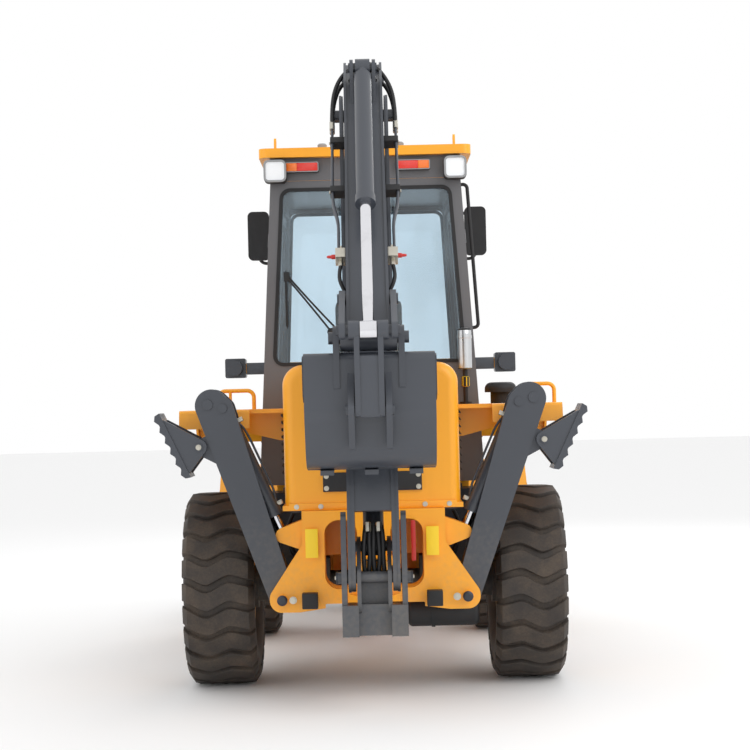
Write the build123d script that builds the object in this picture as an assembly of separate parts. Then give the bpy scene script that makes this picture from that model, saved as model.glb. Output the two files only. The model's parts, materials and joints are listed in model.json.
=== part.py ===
"""Articulated backhoe loader with its engine at the rear, in millimetres.

+Z is up, +Y is the way it drives and +X is its right. The backhoe stands folded for
the road at the rear, the loader bucket is rolled back at the front, and the origin is
on the ground under the middle of the machine.
"""
import os
from math import asin, atan2, cos, degrees, hypot, pi, radians, sin, tan

from build123d import *

# Wheels and axles
REAR_AXLE_Y = -1330.34
WHEELBASE = 2400.0
FRONT_AXLE_Y = REAR_AXLE_Y + WHEELBASE
TRACK = 1850.0
TYRE_DIAMETER = 1170.0
TYRE_WIDTH = 430.0
LUG_COUNT = 24
LUG_HEIGHT = 26.0
LUG_GROOVE = 34.0
LUG_WAVE = 24.0
RIM_DIAMETER = 610.0
RIM_WIDTH = 330.0
HUB_RADIUS = 120.0
SPINDLE_RADIUS = 70.0
AXLE_TUBE_RADIUS = 88.0
AXLE_BULB_RADIUS = 165.0
AXLE_Z = TYRE_DIAMETER / 2 + 1.7
WHEEL_X = TRACK / 2

# Clearances
RUN_FIT = 0.05
SEAT_GAP = 0.3
MOVE_GAP = 6.0

# Frames
RAIL_X = 300.0
RAIL_WALL = 30.0
RAIL_OUT_X = RAIL_X + RAIL_WALL
RAIL_TOP_Z = 1080.0
RAIL_ARCH_Z = 760.0
PIVOT_Y = REAR_AXLE_Y + 1200.0
PIVOT_PIN_RADIUS = 40.0
PIVOT_EAR_RADIUS = 90.0
PIVOT_PLATE = 40.0
PIVOT_LOW_Z = 480.0
PIVOT_HIGH_Z = 900.0

# Backhoe frame
FRAME_REAR_Y = REAR_AXLE_Y - 810.0
FRAME_PLATE = 25.0
LEG_DEPTH = 170.0
LEG_GAP = 5.0
LEG_REAR_Y = FRAME_REAR_Y + FRAME_PLATE + LEG_GAP
LEG_FRONT_Y = LEG_REAR_Y + LEG_DEPTH
FRAME_FRONT_Y = LEG_FRONT_Y + LEG_GAP
LEG_PIN_X = 530.0
LEG_PIN_Z = 586.0
LEG_PIN_RADIUS = 28.0
LEG_EAR_RADIUS = 74.0
LEG_MIDDLE_Y = (LEG_REAR_Y + LEG_FRONT_Y) / 2
LEG_HEAD = (914.0, 1706.0)
LEG_RAM_PIN = (851.0, 1690.0)
LEG_RAM_EYE = (520.0, 950.0)
LEG_RAM_HALF = 40.0
PAD_PIN = (990.0, 1470.0)
FRAME_TOP_Z = 1072.0
FRAME_LOW_Z = 532.0
FRAME_HALF = 410.0
CARRIER_LOW_Z = 560.0
CARRIER_HIGH_Z = 782.0
CARRIER_PLATE = 50.0
POST_LOW_Z = 450.0
BOOM_PIN_RADIUS = 32.0

# Hood and cab
HOOD_REAR_Y = REAR_AXLE_Y - 740.0
HOOD_HALF = 508.0
HOOD_TOP_Z = 1930.0
HOOD_LOW_Z = 1090.0
HOOD_ROUND = 118.0
HOOD_WALL = 12.0
CAB_REAR_Y = REAR_AXLE_Y + 150.0
CAB_FRONT_Y = REAR_AXLE_Y + 1570.0
CAB_LOW_Z = 1200.0
CAB_TOP_Z = 3100.0
CAB_LOW_HALF = 705.0
CAB_TOP_HALF = 595.0
CAB_WALL = 60.0
ROOF_HALF = 662.0
ROOF_TOP_Z = 3300.0
ROOF_SLAB = 58.0
DOOR_REAR_Y = REAR_AXLE_Y + 710.0
DOOR_FRONT_Y = REAR_AXLE_Y + 1460.0
DOOR_LOW_Z = 1310.0
DOOR_HIGH_Z = 3000.0
DOOR_THICK = 42.0
FENDER_TOP_Z = 1680.0
FENDER_OUT_X = 1130.0

# Swing post, boom and dipper, as (y, z) in the rest pose
SWING_Y = REAR_AXLE_Y - 1190.0
SWING_PIN_RADIUS = 45.0
BOOM_FOOT = (SWING_Y - 200.0, 760.0)
ELBOW = (BOOM_FOOT[0] + 750.0, BOOM_FOOT[1] + 2610.0)
BUCKET_PIN = (ELBOW[0] - 1150.0, ELBOW[1] - 1330.0)
BUCKET_LINK_PIN = (BUCKET_PIN[0] - 150.0, BUCKET_PIN[1] - 375.0)
ROD_LINK_PIN = (BUCKET_PIN[0] - 210.0, BUCKET_PIN[1] + 30.0)
GUIDE_PIN = (BUCKET_PIN[0] + 133.0, BUCKET_PIN[1] + 206.0)
DIPPER_TOP_PIN = (ELBOW[0] + 236.0, ELBOW[1] + 245.0)
BUCKET_RAM_PIN = (ELBOW[0] - 110.0, ELBOW[1] + 262.0)
BOOM_RAM_PIN = (BOOM_FOOT[0] + 184.0, BOOM_FOOT[1] + 154.0)
BOOM_HALF = 140.0
DIPPER_HALF = 112.0
BUCKET_HALF = 340.0

# Loader, as (y, z) in the rest pose
ARM_PIN = (REAR_AXLE_Y + 2050.0, 1700.0)
ARM_IN_X = 430.0
ARM_OUT_X = 490.0
LOADER_PIN = (REAR_AXLE_Y + 3730.0, 330.0)
LEVER_PIN = (REAR_AXLE_Y + 2750.0, 1250.0)
LEVER_REACH = 330.0
LEVER_ANGLE = 118.0
LOADER_BUCKET_HALF = 1145.0
LOADER_ROLL = 40.0
LIFT_RAM_X = 560.0


def join(first: Part, *others: Part) -> Part:
    """One shape of several that touch or overlap."""
    return first + list(others) if others else first


def cut(body: Part, *tools: Part) -> Part:
    """The body less every tool."""
    return body - list(tools)


def both_sides(*shapes: Part) -> list[Part]:
    """The shapes and their mirror images on the machine's other side."""
    return [*shapes, *(shape.mirror(Plane.YZ) for shape in shapes)]


def lift_point(axis: str, level: float, u: float, v: float) -> Vector:
    """Point of a plate square to an axis: X takes (y, z), Y takes (x, z), Z takes (x, y)."""
    if axis == "X":
        return Vector(level, u, v)
    if axis == "Y":
        return Vector(u, level, v)
    return Vector(u, v, level)


def axis_vector(axis: str, length: float) -> Vector:
    """Vector of the given length along an axis."""
    return {"X": Vector(length, 0, 0), "Y": Vector(0, length, 0), "Z": Vector(0, 0, length)}[axis]


def outline_face(axis: str, corners: list, level: float) -> Face:
    """Flat face inside straight sides whose corners (u, v, radius) are rounded.

    A corner without a radius stays sharp.
    """
    count = len(corners)
    places = [Vector(c[0], c[1]) for c in corners]
    stops = []
    for i, corner in enumerate(corners):
        radius = corner[2] if len(corner) > 2 else 0.0
        here = places[i]
        if radius <= 0:
            stops.append((here, None, here))
            continue
        back = (places[i - 1] - here).normalized()
        ahead = (places[(i + 1) % count] - here).normalized()
        half = radians(back.get_angle(ahead)) / 2
        reach = radius / tan(half)
        bisector = (back + ahead).normalized()
        centre = here + bisector * (radius / sin(half))
        stops.append((here + back * reach, centre - bisector * radius, here + ahead * reach))
    edges = []
    for i, (start, middle, end) in enumerate(stops):
        if middle is not None:
            points = [lift_point(axis, level, p.X, p.Y) for p in (start, middle, end)]
            edges.append(Edge.make_three_point_arc(*points))
        following = stops[(i + 1) % count][0]
        if (following - end).length > 1e-6:
            ends = [lift_point(axis, level, p.X, p.Y) for p in (end, following)]
            edges.append(Edge.make_line(*ends))
    return Face(Wire(edges))


def slab(axis: str, corners: list, low: float, high: float) -> Solid:
    """Plate between two levels of an axis, with the outline of outline_face."""
    return Solid.extrude(outline_face(axis, corners, low), axis_vector(axis, high - low))


def belt(axis: str, discs: list, low: float, high: float) -> Solid:
    """Plate whose outline is a belt round discs (u, v, radius), listed anticlockwise."""
    count = len(discs)
    normals = []
    for i, (u, v, radius) in enumerate(discs):
        u_next, v_next, radius_next = discs[(i + 1) % count]
        heading = atan2(v_next - v, u_next - u)
        gap = hypot(u_next - u, v_next - v)
        normals.append(heading - pi / 2 + asin((radius - radius_next) / gap))
    edges = []
    for i, (u, v, radius) in enumerate(discs):
        enter, leave = normals[i - 1], normals[i]
        while leave < enter:
            leave += 2 * pi
        u_next, v_next, radius_next = discs[(i + 1) % count]
        angles = (enter, (enter + leave) / 2, leave)
        spots = [(u + radius * cos(a), v + radius * sin(a)) for a in angles]
        if leave - enter > 1e-6:
            edges.append(Edge.make_three_point_arc(*(lift_point(axis, low, *s) for s in spots)))
        target = (u_next + radius_next * cos(leave), v_next + radius_next * sin(leave))
        edges.append(Edge.make_line(lift_point(axis, low, *spots[2]), lift_point(axis, low, *target)))
    return Solid.extrude(Face(Wire(edges)), axis_vector(axis, high - low))


def block(x0: float, x1: float, y0: float, y1: float, z0: float, z1: float) -> Solid:
    """Box between two corners."""
    return Solid.make_box(x1 - x0, y1 - y0, z1 - z0, Plane(origin=(x0, y0, z0)))


def bar(axis: str, u: float, v: float, radius: float, low: float, high: float) -> Solid:
    """Round bar along an axis."""
    place = Plane(origin=lift_point(axis, low, u, v), z_dir=axis_vector(axis, 1))
    return Solid.make_cylinder(radius, high - low, place)


def rod(start: Vector, end: Vector, radius: float) -> Solid:
    """Round bar between two points."""
    start, end = Vector(*start), Vector(*end)
    return Solid.make_cylinder(radius, (end - start).length, Plane(origin=start, z_dir=end - start))


def along(start: tuple, end: tuple, distance: float, offset: float = 0.0) -> tuple:
    """Point at a distance from start towards end, moved to the left by an offset."""
    length = hypot(end[0] - start[0], end[1] - start[1])
    du, dv = (end[0] - start[0]) / length, (end[1] - start[1]) / length
    return (start[0] + du * distance - dv * offset, start[1] + dv * distance + du * offset)


def gap_between(start: tuple, end: tuple) -> float:
    """Distance between two (y, z) places."""
    return hypot(end[0] - start[0], end[1] - start[1])


def polar(centre: tuple, reach: float, angle: float) -> tuple:
    """Place at a reach and an angle in degrees from a centre."""
    return (centre[0] + reach * cos(radians(angle)), centre[1] + reach * sin(radians(angle)))


def tube_path(points: list, radius: float, bend: float) -> Solid:
    """Round tube along straight runs joined by tangent arcs of one bend radius."""
    path = FilletPolyline(*points, radius=bend)
    start = path @ 0
    section = Face(Wire([Edge.make_circle(radius, Plane(origin=start, z_dir=path % 0))]))
    return Solid.sweep(section, Wire(path.edges()))


def ring(profile: list, x: float, y: float, z: float) -> Solid:
    """Solid turned about a wheel's axis, from corners (distance along X, radius, rounding)."""
    face = outline_face("Y", profile, 0)
    return Pos(x, y, z) * Solid.revolve(face, 360, Axis.X)


def make_tyre(side: float) -> Part:
    """Tyre about the origin; the lugs' outer ends lean down at the rear on both sides."""
    half = TYRE_WIDTH / 2
    bead = RIM_DIAMETER / 2
    base = TYRE_DIAMETER / 2 - LUG_HEIGHT
    seat = RIM_WIDTH / 2 - 15.3
    profile = [
        (-seat, bead), (-seat, bead + 24), (-half + 4, bead + 95), (-half + 2, base - 70),
        (-half + 34, base), (half - 34, base), (half - 2, base - 70),
        (half - 4, bead + 95), (seat, bead + 24), (seat, bead),
    ]
    carcass = ring(profile, 0, 0, 0)
    pitch = pi * TYRE_DIAMETER / LUG_COUNT
    bar_half = (pitch - LUG_GROOVE) / 2
    wave = [(half - 8, -LUG_WAVE), (half / 3, LUG_WAVE), (-half / 3, -LUG_WAVE), (-half + 8, 0)]
    wave = [(side * x, y) for x, y in wave]
    corners = [(x, y - bar_half) for x, y in wave] + [(x, y + bar_half) for x, y in reversed(wave)]
    lug = slab("Z", corners, base - 16, TYRE_DIAMETER / 2)
    lugs = [Rot(360 / LUG_COUNT * i, 0, 0) * lug for i in range(LUG_COUNT)]
    return join(carcass, *lugs)


def make_rim(side: float) -> Part:
    """Rim with its dished disc, hub and reduction cap, about the origin."""
    bead = RIM_DIAMETER / 2 - SEAT_GAP
    edge = RIM_WIDTH / 2
    bowl = ring(
        [
            (-edge, bead - 16), (edge, bead - 16), (edge, bead + 22), (edge - 14, bead + 22),
            (edge - 14, bead), (-edge + 14, bead), (-edge + 14, bead + 22), (-edge, bead + 22),
        ],
        0, 0, 0,
    )
    disc = ring([(side * 20, HUB_RADIUS - 4), (side * 70, bead - 12), (side * 88, bead - 12),
                 (side * 40, HUB_RADIUS - 4)], 0, 0, 0)
    inner, outer = sorted((side * -112.0, side * 60.0))
    cap_in, cap_out = sorted((side * 58.0, side * 128.0))
    hub = bar("X", 0, 0, HUB_RADIUS, inner, outer)
    cap = bar("X", 0, 0, HUB_RADIUS - 22, cap_in, cap_out)
    socket = bar("X", 0, 0, SPINDLE_RADIUS + RUN_FIT, *sorted((side * -113.0, side * 2.0)))
    return cut(join(bowl, disc, hub, cap), socket)


def make_axle(y: float) -> Part:
    """Axle housing with its differential, tubes, hub ends, spindles and frame pads."""
    flange_x = WHEEL_X - 112.0 - MOVE_GAP
    bulb = ring(
        [
            (-150, 0), (-150, AXLE_TUBE_RADIUS), (-95, AXLE_BULB_RADIUS - 12), (-40, AXLE_BULB_RADIUS),
            (40, AXLE_BULB_RADIUS), (95, AXLE_BULB_RADIUS - 12), (150, AXLE_TUBE_RADIUS), (150, 0),
        ],
        0, y, AXLE_Z,
    )
    tube = bar("X", y, AXLE_Z, AXLE_TUBE_RADIUS, -flange_x, flange_x)
    ends = both_sides(
        bar("X", y, AXLE_Z, HUB_RADIUS + 8, flange_x - 90, flange_x),
        bar("X", y, AXLE_Z, SPINDLE_RADIUS, flange_x - 5, WHEEL_X),
        block(RAIL_X - 25, RAIL_OUT_X + 25, y - 90, y + 90, AXLE_Z + 40, RAIL_ARCH_Z),
    )
    nose = bar("Y", 0, AXLE_Z, 70, y, y + 260)
    return join(bulb, tube, nose, *ends)


def rail(y_low: float, y_high: float, axle_y: float, rear_z: float, end_z: float,
         front_top: float) -> Solid:
    """Side rail of a frame, arched over its axle, with its top stepped down at the front end."""
    return slab(
        "X",
        [
            (y_low, rear_z), (axle_y - 330, rear_z, 40), (axle_y - 230, RAIL_ARCH_Z, 60),
            (axle_y + 230, RAIL_ARCH_Z, 60), (axle_y + 330, end_z, 40), (y_high, end_z),
            (y_high, front_top), (y_high - 300, front_top, 30), (y_high - 330, RAIL_TOP_Z, 30),
            (y_low, RAIL_TOP_Z),
        ],
        RAIL_X, RAIL_OUT_X,
    )


def make_rear_frame() -> Part:
    """Rails from the backhoe frame to the pivot, with the two plates that carry its pin."""
    nose_y = REAR_AXLE_Y + 480
    rails = both_sides(rail(FRAME_FRONT_Y + FRAME_PLATE, nose_y, REAR_AXLE_Y, 580, PIVOT_LOW_Z,
                            RAIL_TOP_Z - 20))
    plates = []
    for low in (PIVOT_LOW_Z, PIVOT_HIGH_Z):
        plan = belt(
            "Z",
            [(-RAIL_X, nose_y, 0.5), (RAIL_X, nose_y, 0.5), (0, PIVOT_Y, PIVOT_EAR_RADIUS)],
            low, low + PIVOT_PLATE,
        )
        back = block(-RAIL_X, RAIL_X, nose_y - 160, nose_y + 1, low, low + PIVOT_PLATE)
        plates.append(cut(join(plan, back), bar("Z", 0, PIVOT_Y, PIVOT_PIN_RADIUS + RUN_FIT, low - 5,
                                                low + PIVOT_PLATE + 5)))
    web = slab(
        "Z",
        [(RAIL_X - 30, nose_y - 40), (RAIL_X, nose_y - 40), (RAIL_X, nose_y), (178, PIVOT_Y - 230),
         (150, PIVOT_Y - 230)],
        PIVOT_LOW_Z + PIVOT_PLATE, PIVOT_HIGH_Z,
    )
    cross = [
        block(-RAIL_X, RAIL_X, y, y + 20, RAIL_ARCH_Z + 40, RAIL_TOP_Z)
        for y in (REAR_AXLE_Y - 350, REAR_AXLE_Y + 300)
    ]
    deck = block(-RAIL_OUT_X, RAIL_OUT_X, nose_y - 300, nose_y - 200, RAIL_TOP_Z, CAB_LOW_Z)
    return join(*rails, *plates, *both_sides(web), *cross, deck)


def make_backhoe_frame() -> Part:
    """Two winged plates that hold the stabilizer legs, and the carrier of the swing post."""
    wing = [
        (-FRAME_HALF, FRAME_TOP_Z), (-FRAME_HALF, 900, 60), (-LEG_PIN_X - 72, LEG_PIN_Z + 30, 60),
        (-LEG_PIN_X - 76, FRAME_LOW_Z - 20, 70), (-FRAME_HALF - 20, FRAME_LOW_Z - 20, 20),
        (-285, FRAME_LOW_Z), (-285, FRAME_LOW_Z + 25), (285, FRAME_LOW_Z + 25), (285, FRAME_LOW_Z),
        (FRAME_HALF + 20, FRAME_LOW_Z - 20, 20), (LEG_PIN_X + 76, FRAME_LOW_Z - 20, 70),
        (LEG_PIN_X + 72, LEG_PIN_Z + 30, 60), (FRAME_HALF, 900, 60), (FRAME_HALF, FRAME_TOP_Z),
    ]
    plates = []
    for y in (FRAME_REAR_Y, FRAME_FRONT_Y):
        plate = slab("Y", wing, y, y + FRAME_PLATE)
        hole = slab("Y", [(-283, 640, 80), (-95, 640, 80), (-95, 1035, 80), (-283, 1035, 80)],
                    y - 5, y + FRAME_PLATE + 5)
        plates.append(cut(plate, *both_sides(hole)))
    inner_low, inner_high = FRAME_REAR_Y + FRAME_PLATE, FRAME_FRONT_Y
    top = block(-FRAME_HALF, FRAME_HALF, FRAME_REAR_Y, FRAME_FRONT_Y + FRAME_PLATE, FRAME_TOP_Z,
                HOOD_LOW_Z)
    ribs = both_sides(
        block(RAIL_X + 5, RAIL_X + 25, inner_low, inner_high, FRAME_LOW_Z, FRAME_TOP_Z),
        bar("Y", LEG_PIN_X, LEG_PIN_Z, LEG_PIN_RADIUS, FRAME_REAR_Y - 14, FRAME_FRONT_Y + FRAME_PLATE + 10),
    )
    carriers = []
    for low in (CARRIER_LOW_Z, CARRIER_HIGH_Z):
        high = low + CARRIER_PLATE
        eye = belt("Z", [(0, SWING_Y, 80), (79, SWING_Y + 179, 1), (-79, SWING_Y + 179, 1)], low, high)
        root = slab("Z", [(-79, SWING_Y + 178), (79, SWING_Y + 178), (150, FRAME_REAR_Y + 1),
                          (-150, FRAME_REAR_Y + 1)], low, high)
        hole = bar("Z", 0, SWING_Y, SWING_PIN_RADIUS + RUN_FIT, low - 5, high + 5)
        carriers.append(cut(join(eye, root), hole))
    ears = []
    for low in (LEG_MIDDLE_Y - LEG_RAM_HALF - 22, LEG_MIDDLE_Y + LEG_RAM_HALF + 6):
        ears.append(belt("Y", [(RAIL_OUT_X, 870, 34), (*LEG_RAM_EYE, 44), (RAIL_OUT_X, 1030, 34)],
                         low, low + 16))
    return join(*plates, top, *ribs, *carriers, *both_sides(*ears))


def make_engine() -> Part:
    """Engine and gearbox as one plain block between the rails."""
    low = RAIL_ARCH_Z + 45
    return block(-RAIL_X + SEAT_GAP, RAIL_X - SEAT_GAP, REAR_AXLE_Y - 325, CAB_REAR_Y - 10, low, 1600)


def make_hood() -> Part:
    """Engine hood, a hollow shell with rounded rear corners and a grille on each side."""
    front = CAB_REAR_Y - SEAT_GAP
    arch = [
        (-HOOD_HALF, HOOD_LOW_Z), (-HOOD_HALF, HOOD_TOP_Z, HOOD_ROUND),
        (HOOD_HALF, HOOD_TOP_Z, HOOD_ROUND), (HOOD_HALF, HOOD_LOW_Z),
    ]
    shell = slab("Y", arch, HOOD_REAR_Y, front)
    rear_edges = [e for e in shell.edges() if abs(e.center().Y - HOOD_REAR_Y) < 1 and e.center().Z > 1200]
    shell = shell.fillet(60, rear_edges)
    inner_half = HOOD_HALF - HOOD_WALL
    inner = [
        (-inner_half, HOOD_LOW_Z - 10), (-inner_half, HOOD_TOP_Z - HOOD_WALL, HOOD_ROUND - HOOD_WALL),
        (inner_half, HOOD_TOP_Z - HOOD_WALL, HOOD_ROUND - HOOD_WALL), (inner_half, HOOD_LOW_Z - 10),
    ]
    hollow = slab("Y", inner, HOOD_REAR_Y + 62, front + 5)
    slots = [
        block(-HOOD_HALF - 5, HOOD_HALF + 5, HOOD_REAR_Y + 220, HOOD_REAR_Y + 620, z, z + 26)
        for z in (1735, 1785)
    ]
    recess = block(-272, 272, HOOD_REAR_Y - 5, HOOD_REAR_Y + 10, 1205, 1300)
    shell = cut(shell, hollow, recess, *slots)
    sill = block(-HOOD_HALF - 12, HOOD_HALF + 12, HOOD_REAR_Y - 8, front, HOOD_LOW_Z, HOOD_LOW_Z + 28)
    sill = cut(sill, block(-inner_half, inner_half, HOOD_REAR_Y + 62, front + 5, HOOD_LOW_Z - 5,
                           HOOD_LOW_Z + 40))
    return join(shell, sill)


def make_body_base() -> Part:
    """Yellow skirt under the hood, from the backhoe frame to the cab, outside the rails."""
    low_y = FRAME_FRONT_Y + FRAME_PLATE
    skirt = slab(
        "X",
        [(low_y, 700), (REAR_AXLE_Y - 480, 700, 60), (REAR_AXLE_Y - 380, 900, 120),
         (CAB_REAR_Y + 250, 900), (CAB_REAR_Y + 250, HOOD_LOW_Z),
         (low_y, HOOD_LOW_Z)],
        RAIL_OUT_X, RAIL_OUT_X + 14,
    )
    shelf = block(RAIL_OUT_X + 13, HOOD_HALF - 20, low_y, CAB_REAR_Y + 250, RAIL_TOP_Z - 12, HOOD_LOW_Z)
    return join(*both_sides(join(skirt, shelf)))


def make_fenders() -> Part:
    """Step plates over the rear wheels, carried on the hood's sides."""
    rear, front = REAR_AXLE_Y - 530, REAR_AXLE_Y + 610
    profile = [
        (rear, FENDER_TOP_Z - 110), (rear + 30, FENDER_TOP_Z, 25), (front - 130, FENDER_TOP_Z, 60),
        (front, FENDER_TOP_Z - 200), (front - 24, FENDER_TOP_Z - 212),
        (front - 145, FENDER_TOP_Z - 24, 45), (rear + 50, FENDER_TOP_Z - 24, 10),
        (rear + 22, FENDER_TOP_Z - 110),
    ]
    inner = CAB_LOW_HALF + 10
    plate = slab("X", profile, inner, FENDER_OUT_X)
    lip = slab(
        "X",
        [(rear, FENDER_TOP_Z - 110), (rear + 30, FENDER_TOP_Z, 25), (front - 130, FENDER_TOP_Z, 60),
         (front, FENDER_TOP_Z - 200), (front - 60, FENDER_TOP_Z - 230),
         (front - 170, FENDER_TOP_Z - 64, 45), (rear + 90, FENDER_TOP_Z - 64, 10),
         (rear + 60, FENDER_TOP_Z - 130)],
        FENDER_OUT_X - 14, FENDER_OUT_X,
    )
    deck = block(HOOD_HALF + SEAT_GAP, inner + 1, rear + 60, CAB_REAR_Y - MOVE_GAP, FENDER_TOP_Z - 24,
                 FENDER_TOP_Z)
    brace = slab(
        "Y",
        [(HOOD_HALF + SEAT_GAP, FENDER_TOP_Z - 23), (HOOD_HALF + SEAT_GAP, FENDER_TOP_Z - 190),
         (HOOD_HALF + 40, FENDER_TOP_Z - 190), (FENDER_OUT_X - 60, FENDER_TOP_Z - 60),
         (FENDER_OUT_X - 60, FENDER_TOP_Z - 23)],
        REAR_AXLE_Y - 300, REAR_AXLE_Y - 288,
    )
    return join(*both_sides(join(plate, lip, deck, brace)))


def cab_half(z: float) -> float:
    """Half the cab's outer width at a height."""
    share = (z - CAB_LOW_Z) / (CAB_TOP_Z - CAB_LOW_Z)
    return CAB_LOW_HALF + (CAB_TOP_HALF - CAB_LOW_HALF) * share


def cab_prism(inset: float, low: float, high: float, y_low: float, y_high: float) -> Solid:
    """Tapered block that follows the cab's leaning sides, set in from them."""
    corners = [
        (-cab_half(low) + inset, low), (-cab_half(high) + inset, high),
        (cab_half(high) - inset, high), (cab_half(low) - inset, low),
    ]
    return slab("Y", corners, y_low, y_high)


CAB_LEAN = degrees(atan2(CAB_LOW_HALF - CAB_TOP_HALF, CAB_TOP_Z - CAB_LOW_Z))


def side_place(solid: Part, side: float) -> Part:
    """Moves a piece drawn against X = 0, facing +X, onto the cab's leaning side."""
    placed = Pos(CAB_LOW_HALF, 0, CAB_LOW_Z) * Rot(0, -CAB_LEAN, 0) * Pos(0, 0, -CAB_LOW_Z) * solid
    return placed if side > 0 else placed.mirror(Plane.YZ)


def window_slab(axis: str, low: tuple, high: tuple, radius: float, near: float, far: float,
                lean: float = 0.0) -> Solid:
    """Rounded window between two corners; its upper side is narrower by twice the lean."""
    corners = [
        (low[0], low[1], radius), (low[0] + lean, high[1], radius),
        (high[0] - lean, high[1], radius), (high[0], low[1], radius),
    ]
    return slab(axis, corners, near, far)


WINDOW_LEAN = (CAB_LOW_HALF - CAB_TOP_HALF) * 0.6
REAR_WINDOW = ((-600.0, 1955.0), (600.0, 3045.0))
REAR_PANEL = ((-612.0, 1700.0), (612.0, 1915.0))
FRONT_WINDOW = ((-600.0, 1560.0), (600.0, 3045.0))
QUARTER_WINDOW = ((CAB_REAR_Y + 70, 1800.0), (DOOR_REAR_Y - 60, 3020.0))


def make_cab_shell() -> Part:
    """Hollow cab with its pillars, floor, windows and doorways."""
    wall = CAB_WALL
    outer = cab_prism(0, CAB_LOW_Z, CAB_TOP_Z, CAB_REAR_Y, CAB_FRONT_Y)
    hollow = cab_prism(wall, CAB_LOW_Z + 40, CAB_TOP_Z - 30, CAB_REAR_Y + wall, CAB_FRONT_Y - wall)
    rear = window_slab("Y", *REAR_WINDOW, 45, CAB_REAR_Y - 5, CAB_REAR_Y + wall + 5, WINDOW_LEAN)
    front = window_slab("Y", *FRONT_WINDOW, 45, CAB_FRONT_Y - wall - 5, CAB_FRONT_Y + 5, WINDOW_LEAN)
    door = window_slab(
        "X", (DOOR_REAR_Y, DOOR_LOW_Z), (DOOR_FRONT_Y, DOOR_HIGH_Z), 30, -wall - 60, 60)
    quarter = window_slab("X", *QUARTER_WINDOW, 40, -wall - 60, 60)
    openings = [side_place(tool, side) for tool in (door, quarter) for side in (1, -1)]
    shell = cut(outer, hollow, rear, front, *openings)
    seat_base = block(-260, 260, CAB_REAR_Y + wall - 1, CAB_REAR_Y + 560, CAB_LOW_Z + 39, 1640)
    dash = slab(
        "X",
        [(CAB_FRONT_Y - wall + 1, CAB_LOW_Z + 39), (CAB_FRONT_Y - wall + 1, 1960),
         (CAB_FRONT_Y - 170, 1960, 40), (CAB_FRONT_Y - 210, 1800, 30),
         (CAB_FRONT_Y - 130, 1640, 30), (CAB_FRONT_Y - 130, CAB_LOW_Z + 39)],
        -300, 300,
    )
    ears = []
    for z in HINGE_HEIGHTS:
        ears.append(block(-8, HINGE_OUT + 14, DOOR_REAR_Y - 60, DOOR_REAR_Y - HINGE_BACK, z - 42, z - 23))
        ears.append(block(-8, HINGE_OUT + 14, DOOR_REAR_Y - 60, DOOR_REAR_Y - HINGE_BACK, z + 23, z + 42))
        ears.append(bar("Z", HINGE_OUT, DOOR_REAR_Y - HINGE_BACK - 12, HINGE_PIN_RADIUS, z - 42, z + 42))
    hinges = [side_place(join(*ears), side) for side in (1, -1)]
    return join(shell, seat_base, dash, *hinges)


HINGE_HEIGHTS = (1500.0, 2780.0)
HINGE_OUT = 20.0
HINGE_BACK = 8.0
HINGE_PIN_RADIUS = 8.0


def make_door(side: float) -> Part:
    """Door frame with its window cut, its knuckles and its handle."""
    gap = MOVE_GAP
    low = (DOOR_REAR_Y + gap, DOOR_LOW_Z + gap)
    high = (DOOR_FRONT_Y - gap, DOOR_HIGH_Z - gap)
    leaf = window_slab("X", low, high, 26, -DOOR_THICK, -0.5)
    panes = [
        window_slab("X", (low[0] + 62, low[1] + 62), (high[0] - 62, low[1] + 470), 40, -DOOR_THICK - 5, 5),
        window_slab("X", (low[0] + 62, low[1] + 530), (high[0] - 62, high[1] - 62), 40, -DOOR_THICK - 5,
                    5),
    ]
    leaf = cut(leaf, *panes)
    parts = [leaf]
    pin_y = DOOR_REAR_Y - HINGE_BACK - 12
    for z in HINGE_HEIGHTS:
        knuckle = bar("Z", HINGE_OUT, pin_y, HINGE_PIN_RADIUS + 7, z - 22, z + 22)
        tongue = block(HINGE_OUT - 12, HINGE_OUT - 2, pin_y, DOOR_REAR_Y + gap + 40, z - 22, z + 22)
        foot = block(-1, HINGE_OUT - 2, DOOR_REAR_Y + gap + 8, DOOR_REAR_Y + gap + 40, z - 22, z + 22)
        bore = bar("Z", HINGE_OUT, pin_y, HINGE_PIN_RADIUS + RUN_FIT, z - 30, z + 30)
        parts.append(cut(join(knuckle, tongue, foot), bore))
    handle_y = high[0] - 40
    parts.append(block(-1, 34, handle_y - 14, handle_y + 14, 1895, 1911))
    parts.append(block(-1, 34, handle_y - 14, handle_y + 14, 2065, 2081))
    parts.append(block(26, 40, handle_y - 14, handle_y + 14, 1895, 2081))
    return side_place(join(*parts), side)


def make_door_glass(side: float) -> Part:
    """The door's two panes, in its windows."""
    gap = MOVE_GAP + 62 + SEAT_GAP
    low = (DOOR_REAR_Y + gap, DOOR_LOW_Z + gap)
    high = (DOOR_FRONT_Y - gap, DOOR_HIGH_Z - gap)
    split = DOOR_LOW_Z + MOVE_GAP
    panes = [
        window_slab("X", low, (high[0], split + 470 - SEAT_GAP), 39.7, -24, -18),
        window_slab("X", (low[0], split + 530 + SEAT_GAP), high, 39.7, -24, -18),
    ]
    return Compound(children=[side_place(pane, side) for pane in panes])


def make_cab_glass() -> Part:
    """Fixed panes: rear, front and the quarter lights behind the doors."""
    seat = SEAT_GAP

    def shrunk(window: tuple) -> tuple:
        return (window[0][0] + seat, window[0][1] + seat), (window[1][0] - seat, window[1][1] - seat)

    rear = window_slab("Y", *shrunk(REAR_WINDOW), 44.7, CAB_REAR_Y + 18, CAB_REAR_Y + 24, WINDOW_LEAN)
    front = window_slab("Y", *shrunk(FRONT_WINDOW), 44.7, CAB_FRONT_Y - 24, CAB_FRONT_Y - 18,
                        WINDOW_LEAN)
    quarter = window_slab("X", *shrunk(QUARTER_WINDOW), 39.7, -24, -18)
    return Compound(children=[rear, front, side_place(quarter, 1), side_place(quarter, -1)])


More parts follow.
